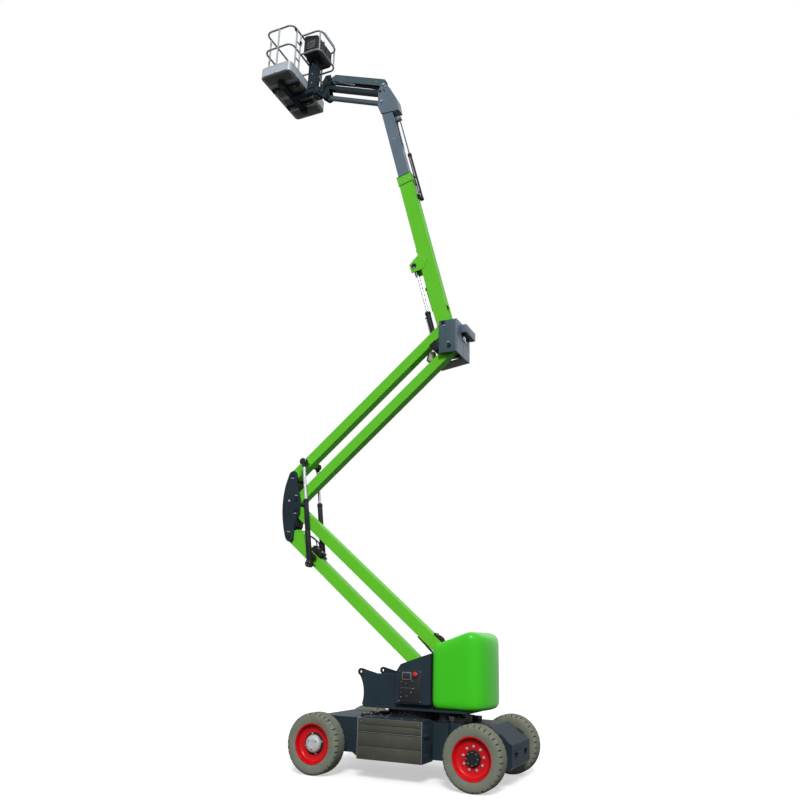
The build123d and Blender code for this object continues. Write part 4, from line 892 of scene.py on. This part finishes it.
# The end plate blocks take the paler slate (index 3): painted light on the knuckle's +X face.
for y_from, y_to, z_from, z_to in (
    (-0.155, 0.080, low, high), (0.270, 0.410, low, high), (0.080, 0.270, gap_high, high),
    (0.080, 0.270, low, gap_low),
):
    block(bm, (back - 0.0075, (y_from + y_to) / 2, (z_from + z_to) / 2),
          (0.015, y_to - y_from, z_to - z_from), 3, 0)
piece("top_knuckle_shell", bm, [slate_mid, black, zinc, telescope_slate_and_painted_light], "top_knuckle_body", ["top_knuckle"])

bm = bmesh.new()
for side in (-1, 1):
    pin_cap(bm, top_1, side * 0.159, side, 0.031, (0.012, -0.050, 0), 1, 2)
    pin_cap(bm, top_2, side * 0.159, side, 0.031, (-0.012, 0.054, 0), 1, 2)
    bolt(bm, at((top_1[0] + 0.040, top_1[1] - 0.100), side * 0.155), (0, side, 0), 0.006, 0.004, 1)
    block(bm, at(beyond(top_2, upper_way, -0.150, 0.175), side * 0.106), (0.130, 0.060, 0.150), 1, 0.006,
          upper_way)
# The top strip of the end plate takes the paler slate: painted light on the +X face.
block(bm, (back - 0.006, 0.130, high - 0.004), (0.014, 0.556, 0.010), 3, 0.004)
block(bm, (back - 0.060, 0.175, 5.843), (0.080, 0.180, 0.110), 1, 0.004)
rod(bm, (back - 0.010, 0.105, 5.845), (back - 0.010, 0.262, 5.822), 0.019, 4, 24, 0.003)
# The sensor box takes the paler slate: painted light on the +X face.
block(bm, (back + 0.044, 0.2225, 5.957), (0.088, 0.405, 0.126), 3, 0.006)
block(bm, (back + 0.040, 0.2225, 5.890), (0.062, 0.370, 0.012), 1, 0.003)
for y in (0.045, 0.400):
    bolt(bm, (back + 0.087, y, 6.000), (1, 0, 0), 0.006, 0.005, 2)
# A black plate under the far side and a black strip beside it are painted shade: a dark sheet where the
# knuckle's underside lies in shadow.
plate(bm, [(back - 0.016, low), (back - 0.002, low), (back - 0.002, low + 0.014), (0.130, 5.490),
           (0.130, 5.478)],
      0.156, 0.405, 1)
block(bm, (back - 0.120, 0.120, low + 0.006), (0.236, 0.060, 0.012), 1, 0.002)
piece("top_knuckle_fittings", bm, [slate_mid, black, zinc, telescope_slate_and_painted_light, chrome], "top_knuckle_body")

bm = bmesh.new()
pad, pad_way = beyond(top_2, upper_way, -0.300, 0.150), 78
block(bm, at(pad, 0.0), (0.150, 0.100, 0.070), 0, 0.006, pad_way)
block(bm, at(beyond(pad, pad_way, 0.0, 0.044), 0.0), (0.160, 0.110, 0.018), 1, 0.004, pad_way)
piece("upper_arm_pad", bm, [beige, black], "upper_arm_body")
print("top knuckle done")

# %% [markdown]
# ## Boom and telescope
#
# The boom is a welded square tube: weld seams run along its corners and fish-plates lie round the
# pivot. At its mouth a collar holds the wear pads with set screws. The lift cylinder pushes on
# two lugs, and the cylinder that moves the telescope lies behind, with its steel lines.

# %% Boom seams, collar screws and lug fittings
bm = bmesh.new()
for out in (-1, 1):
    for left in (-1, 1):
        for n in range(3):
            spot = beyond(boom_start, boom_way, 0.82 + 0.72 * n, left * 0.109)
            block(bm, at(spot, out * 0.0826), (0.66, 0.003, 0.005), 0, 0.001, boom_way)
    for reach in (0.432, 2.655):
        block(bm, on_boom(reach, 0, out * 0.0845), (0.006, 0.004, 0.214), 0, 0.0015, boom_way)
    for reach, left in ((2.715, 0.080), (2.715, -0.080), (2.790, 0.0), (2.715, 0.0)):
        bolt(bm, on_boom(reach, left, out * 0.0925), (0, out, 0), 0.010, 0.008, 1)
    block(bm, on_boom(2.826, 0, out * 0.0945), (0.010, 0.008, 0.236), 2, 0.003, boom_way)
    turned(bm, [(0.026, -0.001), (0.052, -0.001), (0.052, 0.006), (0.048, 0.009), (0.026, 0.009)],
           at(top_1, out * 0.094),
           0, 36, out)
    pin_cap(bm, ram_lug, out * 0.0995, out, 0.024, (-0.004, -0.042, 40), 2, 1)
    turned(bm, [(0.024, -0.001), (0.042, -0.001), (0.042, 0.006), (0.024, 0.008)],
           at(ram_lug, out * 0.0915), 3, 32, out)
for left in (-1, 1):
    block(bm, on_boom(2.826, left * 0.1245, 0), (0.010, 0.190, 0.008), 2, 0.003, boom_way)
    for y in (-0.045, 0.045):
        spot = beyond(boom_start, boom_way, 2.735, left * 0.1225)
        bolt(bm, at(spot, y), at(beyond((0, 0), boom_way, 0, left), 0), 0.009, 0.007, 1)
stop = beyond(boom_start, boom_way, 1.420, 0.118)
block(bm, at(stop, 0.0), (0.050, 0.050, 0.034), 2, 0.006, boom_way)
pin_cap(bm, level_head, 0.036, 1, 0.018, None, 2, 1)
pin_cap(bm, level_head, -0.036, -1, 0.018, None, 2, 1)
piece("boom_fittings", bm, [arm_green, zinc, black, slate], "boom_body")

ram_way = Vector((ram_lug[0] - ram_foot[0], ram_lug[1] - ram_foot[1])).normalized()


def on_ram(reach, y=0.0, off=0.0):
    return Vector((ram_foot[0] + ram_way.x * reach - ram_way.y * off, y,
                   ram_foot[1] + ram_way.y * reach + ram_way.x * off))


bm = bmesh.new()
rod(bm, on_ram(0.490), on_ram(0.534), 0.0445, 0, 36, 0.004)
rod(bm, on_ram(0.534), on_ram(0.544), 0.032, 0, 32, 0.003)
for reach in (0.100, 0.455):
    rod(bm, on_ram(reach, 0, 0.036), on_ram(reach, 0, 0.058), 0.012, 0, 18, 0.002)
rod(bm, on_ram(0.100, 0, 0.050), on_ram(0.455, 0, 0.050), 0.006, 1, 12, 0.001)
piece("boom_ram_fittings", bm, [black, zinc], "boom_lift_barrel_body")

bm = bmesh.new()
turned(bm, [(0.0215, -0.0325), (0.0372, -0.0325), (0.0372, 0.0325), (0.0215, 0.0325)], at(ram_lug, 0), 0,
       36, 1)
rod(bm, on_ram(1.265), on_ram(1.302), 0.027, 0, 28, 0.003)
piece("boom_ram_eye", bm, [black], "boom_lift_rod_body")

bm = bmesh.new()
line_left = -0.168
rod(bm, on_boom(3.188, line_left, 0), on_boom(3.236, line_left, 0),
    0.0345, 0, 32, 0.003)
rod(bm, on_boom(2.290, line_left, 0), on_boom(2.318, line_left, 0),
    0.0345, 0, 32, 0.003)
for y in (-0.036, 0.036):
    rod(bm, on_boom(2.340, line_left, y), on_boom(3.150, line_left, y),
        0.005, 1, 12, 0.001)
for reach in (2.42, 2.72):
    block(bm, on_boom(reach, line_left, 0), (0.030, 0.086, 0.014), 0, 0.003, boom_way)
piece("extension_cylinder_fittings", bm, [black, zinc], "boom_body")

bm = bmesh.new()
for out in (-1, 1):
    bolt(bm, on_boom(3.62, 0.0, out * 0.0675), (0, out, 0), 0.010, 0.007, 1)
    for pin, size in ((jib_pin, 0.022), (jib_link_pin, 0.020), (jib_strut_pin, 0.022), (jib_foot, 0.016)):
        pin_cap(bm, pin, out * 0.085, out, size, None, 1 if pin is not jib_link_pin else 2, 1)
    seam, seam_way = beyond(jib_pin, boom_way, -0.33, -0.045), 118
    block(bm, at(seam, out * 0.0815), (0.260, 0.004, 0.007), 0, 0.002, seam_way)
    block(bm, at(beyond(jib_pin, boom_way, -0.12, 0.020), out * 0.083), (0.060, 0.006, 0.016), 2, 0.002,
          seam_way)
block(bm, on_boom(4.345, 0, 0), (0.012, 0.142, 0.190), 0, 0.004, boom_way)
piece("telescope_fittings", bm, [telescope_slate_and_painted_light, zinc, black], "telescope_body")
for n, y in enumerate((-0.030, 0.030)):
    hose(f"telescope_line_{n}", [on_boom(r, h, y) for r, h in (
        (3.40, -0.104), (3.75, -0.106), (4.05, -0.112), (4.25, -0.118), (4.42, -0.100))], 0.007,
        "telescope_body",
        zinc if n else hose_black)
print("boom and telescope done")

# %% [markdown]
# ## Jib and bracket
#
# The jib is an upside-down channel over its cylinder. Weld rings lie round its pins, and black
# wires loop from its end to the basket's rotor.

# %% Jib fittings
bm = bmesh.new()
for out in (-1, 1):
    for pin in (jib_pin, jib_end):
        turned(bm, [(0.0155, -0.001), (0.030, -0.001), (0.030, 0.0035), (0.0155, 0.0035)],
               at(pin, out * 0.060), 0, 28, out)
    block(bm, at(beyond(jib_pin, jib_way, 0.60, -0.110), out * 0.0605), (1.02, 0.003, 0.006), 0, 0.001,
          jib_way)
    for reach in (0.20, 0.95):
        bolt(bm, at(beyond(jib_pin, jib_way, reach, -0.060), out * 0.060), (0, out, 0), 0.007, 0.004, 1)
piece("jib_fittings", bm, [slate, zinc], "jib_arm_body")

bm = bmesh.new()
for out in (-1, 1):
    for pin, size in ((jib_end, 0.022), (link_end, 0.020), (strut_end, 0.022), (ram_head, 0.016)):
        pin_cap(bm, pin, out * 0.085, out, size, None, 1, 2)
    for x, z in ((rotor_x + 0.150, jib_end[1] - 0.05), (rotor_x + 0.150, jib_end[1] - 0.19)):
        bolt(bm, (x, out * 0.080, z), (0, out, 0), 0.010, 0.008, 2)
rod(bm, (rotor_x, 0, jib_end[1] - 0.258), (rotor_x, 0, jib_end[1] - 0.251), 0.050, 1, 36, 0.002)
for n in range(6):
    turn = 2 * pi * n / 6
    bolt(bm, (rotor_x + 0.052 * cos(turn), 0.052 * sin(turn), jib_end[1] - 0.2525), (0, 0, -1), 0.007,
         0.005, 2)
block(bm, (rotor_x + 0.020, -0.074, jib_end[1] - 0.19), (0.090, 0.020, 0.070), 1, 0.004)
piece("bracket_fittings", bm, [slate, black, zinc], "jib_bracket_body")
for n in range(3):
    drop = 0.030 * n
    hose(f"bracket_wire_{n}", [
        (jib_end[0] - 0.02, -0.092, jib_end[1] - 0.02 - drop),
        (jib_end[0] - 0.09, -0.118, jib_end[1] - 0.10 - drop),
        (rotor_x + 0.17, -0.126, jib_end[1] - 0.215 - drop * 0.4),
        (rotor_x + 0.08, -0.110, jib_end[1] - 0.235),
        (rotor_x + 0.03, -0.088, jib_end[1] - 0.200)], 0.006, "jib_bracket_body")
print("jib done")

# %% [markdown]
# ## The basket
#
# The floor is a folded tray with rolled edges. Under it lie sheet panels between black cross
# members with two round bosses. The rails carry pale posts, a gate with a latch, and two plates
# for harness hooks.

# %% Underside, toe boards and rails
bm = bmesh.new()
half_x, half_y = 0.310, 0.615
for y, wide in ((-0.480, 0.20), (-0.120, 0.16), (0.120, 0.16), (0.480, 0.20)):
    block(bm, (basket_mid, y, floor_low - 0.003), (0.520, wide, 0.006), 0, 0.002)
for z, number in ((floor_low + 0.187, 1), (floor_low + 0.006, 2)):
    for side in (-1, 1):
        block(bm, (basket_mid + side * (half_x - 0.001), 0, z), (0.009, 1.10, 0.010), number, 0.003)
        block(bm, (basket_mid, side * (half_y - 0.001), z), (0.49, 0.009, 0.010), number, 0.003)
for n in range(7):
    for m in range(3):
        block(bm, (basket_mid - 0.18 + 0.18 * m, -0.48 + 0.16 * n, floor_low + 0.0215),
              (0.07, 0.012, 0.003), 1, 0.001)
piece("basket_panels", bm, [underside, toe_silver, slate], "basket_body")

bm = bmesh.new()
for side in (-1, 1):
    for near in (-1, 1):
        bolt(bm, (basket_mid + near * 0.18, side * 0.246, floor_low - 0.040), (0, 0, -1), 0.010, 0.008, 1)
    turned(bm, [(0, 0.0), (0.060, 0.0), (0.064, 0.004), (0.064, 0.012), (0.048, 0.018), (0, 0.018)],
           (basket_mid, side * 0.3936, floor_low - 0.080), 0, 36, -1, closed=False, axis=2)
    block(bm, (basket_mid, side * 0.246, floor_low - 0.030), (0.46, 0.076, 0.026), 0, 0.005)
block(bm, (basket_mid, 0, floor_low - 0.050), (0.098, 0.70, 0.050), 0, 0.008)
piece("basket_cross_members", bm, [black, zinc], "basket_body")

bm = bmesh.new()
rail_x, rail_y = half_x - 0.022, half_y - 0.022
for x, y in ((0, -rail_y), (0, rail_y), (rail_x, -0.320), (rail_x, -0.76 * rail_y),
             (-rail_x, 0.72 * rail_y),
             (-rail_x, -0.72 * rail_y), (rail_x, 0.76 * rail_y)):
    rod(bm, (basket_mid + x, y, floor_low + 0.022), (basket_mid + x, y, rail_top - 0.004), 0.0162, 0, 24,
        0.001)
    for z in (floor_low + 0.590, rail_top):
        rod(bm, (basket_mid + x, y, z - 0.024), (basket_mid + x, y, z - 0.012), 0.0185, 0, 24, 0.002)
    turned(bm, [(0.0162, 0.0), (0.030, 0.0), (0.030, 0.005), (0.0162, 0.012)],
           (basket_mid + x, y, floor_low + 0.021), 0,
           24, 1, axis=2)
for z in (floor_low + 0.40, floor_low + 0.76):
    block(bm, (basket_mid + rail_x, -0.385, z), (0.022, 0.126, 0.022), 0, 0.004)
block(bm, (basket_mid + rail_x + 0.004, -0.320, floor_low + 0.80), (0.034, 0.040, 0.090), 1, 0.006)
rod(bm, (basket_mid + rail_x + 0.016, -0.335, floor_low + 0.83), (basket_mid + rail_x + 0.030, -0.290,
                                                        floor_low + 0.83),
    0.006, 2, 14, 0.002)
for y in (-0.50, 0.50):
    block(bm, (basket_mid + rail_x, y, rail_top - 0.045), (0.008, 0.070, 0.060), 1, 0.003)
piece("basket_posts_and_gate", bm, [post_pale, black, zinc], "basket_body")

bm = bmesh.new()
block(bm, (rotor_x + 0.1975, 0, rail_top), (0.004, 0.372, 0.066), 0, 0.0015)
for y in (-0.17, 0.17):
    bolt(bm, (rotor_x + 0.199, y, rail_top), (1, 0, 0), 0.007, 0.004, 1)
piece("guard_band", bm, [toe_silver, zinc], "basket_body")
print("basket done")

# %% [markdown]
# ## The basket console
#
# The console is a black moulded housing with two bays. Each bay shows pale louvre strips under
# a sloping lid, and the top carries two hand levers with rubber boots, a stop button and
# keys.

# %% Console bays, levers and column
console_low, console_x = rail_top - 0.385, basket_front + 0.006
bm = bmesh.new()
for side in (-1, 1):
    block(bm, (console_x + 0.306, side * 0.118, console_low + 0.185), (0.020, 0.205, 0.215), 1, 0.006)
    for n in range(6):
        block(bm, (console_x + 0.317, side * 0.118, console_low + 0.105 + 0.032 * n),
              (0.008, 0.185, 0.009), 2, 0.002, 20)
    block(bm, (console_x + 0.150, side * 0.2355, console_low + 0.190), (0.220, 0.004, 0.230), 1, 0.005)
    for n in range(5):
        block(bm, (console_x + 0.150, side * 0.238, console_low + 0.110 + 0.035 * n),
              (0.170, 0.004, 0.009), 2, 0.002)
    boot = Vector((console_x + 0.090, side * 0.130, console_low + 0.404))
    turned(bm, [(0, 0.0), (0.034, 0.0), (0.034, 0.004), (0.026, 0.010), (0.028, 0.014), (0.019, 0.020),
                (0.020, 0.024),
                (0.010, 0.032), (0, 0.032)], boot - Vector((0, 0, 0.008)), 1, 28, 1, closed=False, axis=2)
    rod(bm, boot + Vector((0, 0, 0.018)), boot + Vector((0.006, 0, 0.040)), 0.006, 3, 14, 0.001)
    rod(bm, boot + Vector((0.005, 0, 0.034)), boot + Vector((0.010, 0, 0.062)), 0.014, 1, 20, 0.005,
        0.011)
block(bm, (console_x + 0.030, 0.0, console_low + 0.402), (0.044, 0.43, 0.006), 1, 0.002)
for n in range(7):
    rod(bm, (console_x + 0.034, -0.18 + 0.06 * n, console_low + 0.402),
        (console_x + 0.034, -0.18 + 0.06 * n, console_low + 0.412),
        0.008, 2 if n % 2 else 3, 14, 0.001)
block(bm, (console_x + 0.140, 0.0, console_low + 0.205), (0.285, 0.016, 0.385), 0, 0.004)
piece("console_fittings", bm, [plastic, black, rail_grey, zinc], "basket_body")

bm = bmesh.new()
turned(bm, [(0, 0.0), (0.022, 0.0), (0.025, 0.004), (0.025, 0.010), (0.018, 0.015), (0, 0.016)],
       (console_x + 0.060, 0.0, console_low + 0.404), 0, 32, 1, closed=False, axis=2)
piece("basket_stop_button", bm, [stop_red], "basket_body")

bm = bmesh.new()
block(bm, (rotor_x - 0.090, 0, console_low - 0.010), (0.230, 0.240, 0.018), 0, 0.004)
for z in (floor_low + 0.10, floor_low + 0.30, floor_low + 0.52):
    for side in (-1, 1):
        bolt(bm, (rotor_x - 0.090, side * 0.060, z), (0, side, 0), 0.009, 0.007, 1)
block(bm, (rotor_x - 0.0035, 0.0, floor_low + 0.30), (0.004, 0.080, 0.48), 0, 0.002)
block(bm, (basket_mid + 0.17, 0.36, floor_low + 0.046), (0.16, 0.12, 0.050), 2, 0.010)
block(bm, (basket_mid + 0.15, 0.36, floor_low + 0.074), (0.10, 0.09, 0.010), 2, 0.004)
piece("column_and_foot_switch", bm, [slate, zinc, black], "basket_body")
hose("column_wire_a", [(rotor_x + 0.006, -0.045, floor_low + 0.03),
                       (rotor_x + 0.030, -0.050, floor_low + 0.20),
                       (rotor_x + 0.012, -0.030, floor_low + 0.45),
                       (rotor_x + 0.004, -0.030, console_low - 0.02)],
     0.007, "basket_body")
hose("column_wire_b", [(rotor_x + 0.006, 0.020, floor_low + 0.03),
                       (rotor_x + 0.038, 0.028, floor_low + 0.24),
                       (rotor_x + 0.010, 0.020, floor_low + 0.48),
                       (rotor_x + 0.004, 0.020, console_low - 0.02)],
     0.006, "basket_body")
print("console done")

# %% [markdown]
# ## Floor, light and camera
#
# The floor is a plain pale disc. For the camera and in reflections it gives a little light of
# its own, so that it stays white away from the shadows. A wide sun from the front left, a weak one
# from the side and a pale sky light the machine at a plain level.

# %% Floor
def seen_direct(tree):
    """The light path node, and 1 for camera rays, mirrored rays and rays through glass."""
    path = tree.nodes.new("ShaderNodeLightPath")
    total = path.outputs["Is Camera Ray"]
    for ray in ("Is Glossy Ray", "Is Transmission Ray"):
        both = tree.nodes.new("ShaderNodeMath")
        both.operation = "MAXIMUM"
        tree.links.new(total, both.inputs[0])
        tree.links.new(path.outputs[ray], both.inputs[1])
        total = both.outputs[0]
    return path, total


bm = bmesh.new()
bmesh.ops.create_circle(bm, cap_ends=True, segments=96, radius=90)
mesh = bpy.data.meshes.new("floor")
bm.to_mesh(mesh)
bm.free()
floor = bpy.data.objects.new("floor", mesh)
scene.collection.objects.link(floor)
ground = bpy.data.materials.new("pale_floor")
ground.use_nodes = True
tree = ground.node_tree
seen, lit = seen_direct(tree)
shader = tree.nodes["Principled BSDF"]
bounce = tree.nodes.new("ShaderNodeMix")
bounce.data_type = "RGBA"
bounce.inputs["A"].default_value = (0.05, 0.05, 0.05, 1)
bounce.inputs["B"].default_value = (0.80, 0.80, 0.80, 1)
tree.links.new(seen.outputs["Is Camera Ray"], bounce.inputs["Factor"])
tree.links.new(bounce.outputs["Result"], shader.inputs["Base Color"])
shader.inputs["Roughness"].default_value = 0.9
shader.inputs["Specular IOR Level"].default_value = 0.0
shader.inputs["Emission Color"].default_value = (1, 1, 1, 1)
scale = tree.nodes.new("ShaderNodeMath")
scale.operation = "MULTIPLY"
scale.inputs[1].default_value = 0.50
tree.links.new(lit, scale.inputs[0])
tree.links.new(scale.outputs[0], shader.inputs["Emission Strength"])
mesh.materials.append(ground)

# %% Sky and sun
world = bpy.data.worlds.new("studio")
scene.world = world
world.use_nodes = True
tree = world.node_tree
sky = tree.nodes["Background"]
sky.inputs["Color"].default_value = (0.96, 0.98, 1.0, 1)
sky.inputs["Strength"].default_value = 0.40
white = tree.nodes.new("ShaderNodeBackground")
white.inputs["Color"].default_value = (1, 1, 1, 1)
white.inputs["Strength"].default_value = 1.0
mixed = tree.nodes.new("ShaderNodeMixShader")
tree.links.new(seen_direct(tree)[1], mixed.inputs["Fac"])
tree.links.new(sky.outputs[0], mixed.inputs[1])
tree.links.new(white.outputs[0], mixed.inputs[2])
tree.links.new(mixed.outputs[0], tree.nodes["World Output"].inputs["Surface"])

for name, strength, spread, direction in (
    ("key", 2.3, 14, (-0.35, 0.80, -0.62)), ("side", 0.3, 60, (-0.75, 0.30, -0.35)),
):
    lamp = bpy.data.lights.new(name, "SUN")
    lamp.energy = strength
    lamp.angle = radians(spread)
    made = bpy.data.objects.new(name, lamp)
    made.rotation_euler = Vector(direction).to_track_quat("-Z", "Y").to_euler()
    scene.collection.objects.link(made)

# %% Camera
camera = bpy.data.objects.new("camera", bpy.data.cameras.new("camera"))
camera.data.lens = 33.553
camera.data.sensor_width = 36
camera.data.clip_end = 300
right = Vector((0.9104, 0.4128, 0.0269))
up = Vector((0.1015, -0.2861, 0.9528))
ahead = Vector((-0.4010, 0.8647, 0.3024))
turn = Matrix((right, up, -ahead)).transposed().to_quaternion()
camera.matrix_world = Matrix.Translation((4.037, -9.490, 1.634)) @ turn.to_matrix().to_4x4()
scene.collection.objects.link(camera)
scene.camera = camera
scene.view_settings.view_transform = "Standard"
bpy.context.view_layer.update()

# %% Triangle count of the dressed model
total = sum(len(o.data.loop_triangles) or sum(len(p.vertices) - 2 for p in o.data.polygons)
            for o in scene.objects if o.type == "MESH")
print("mesh triangles:", total)
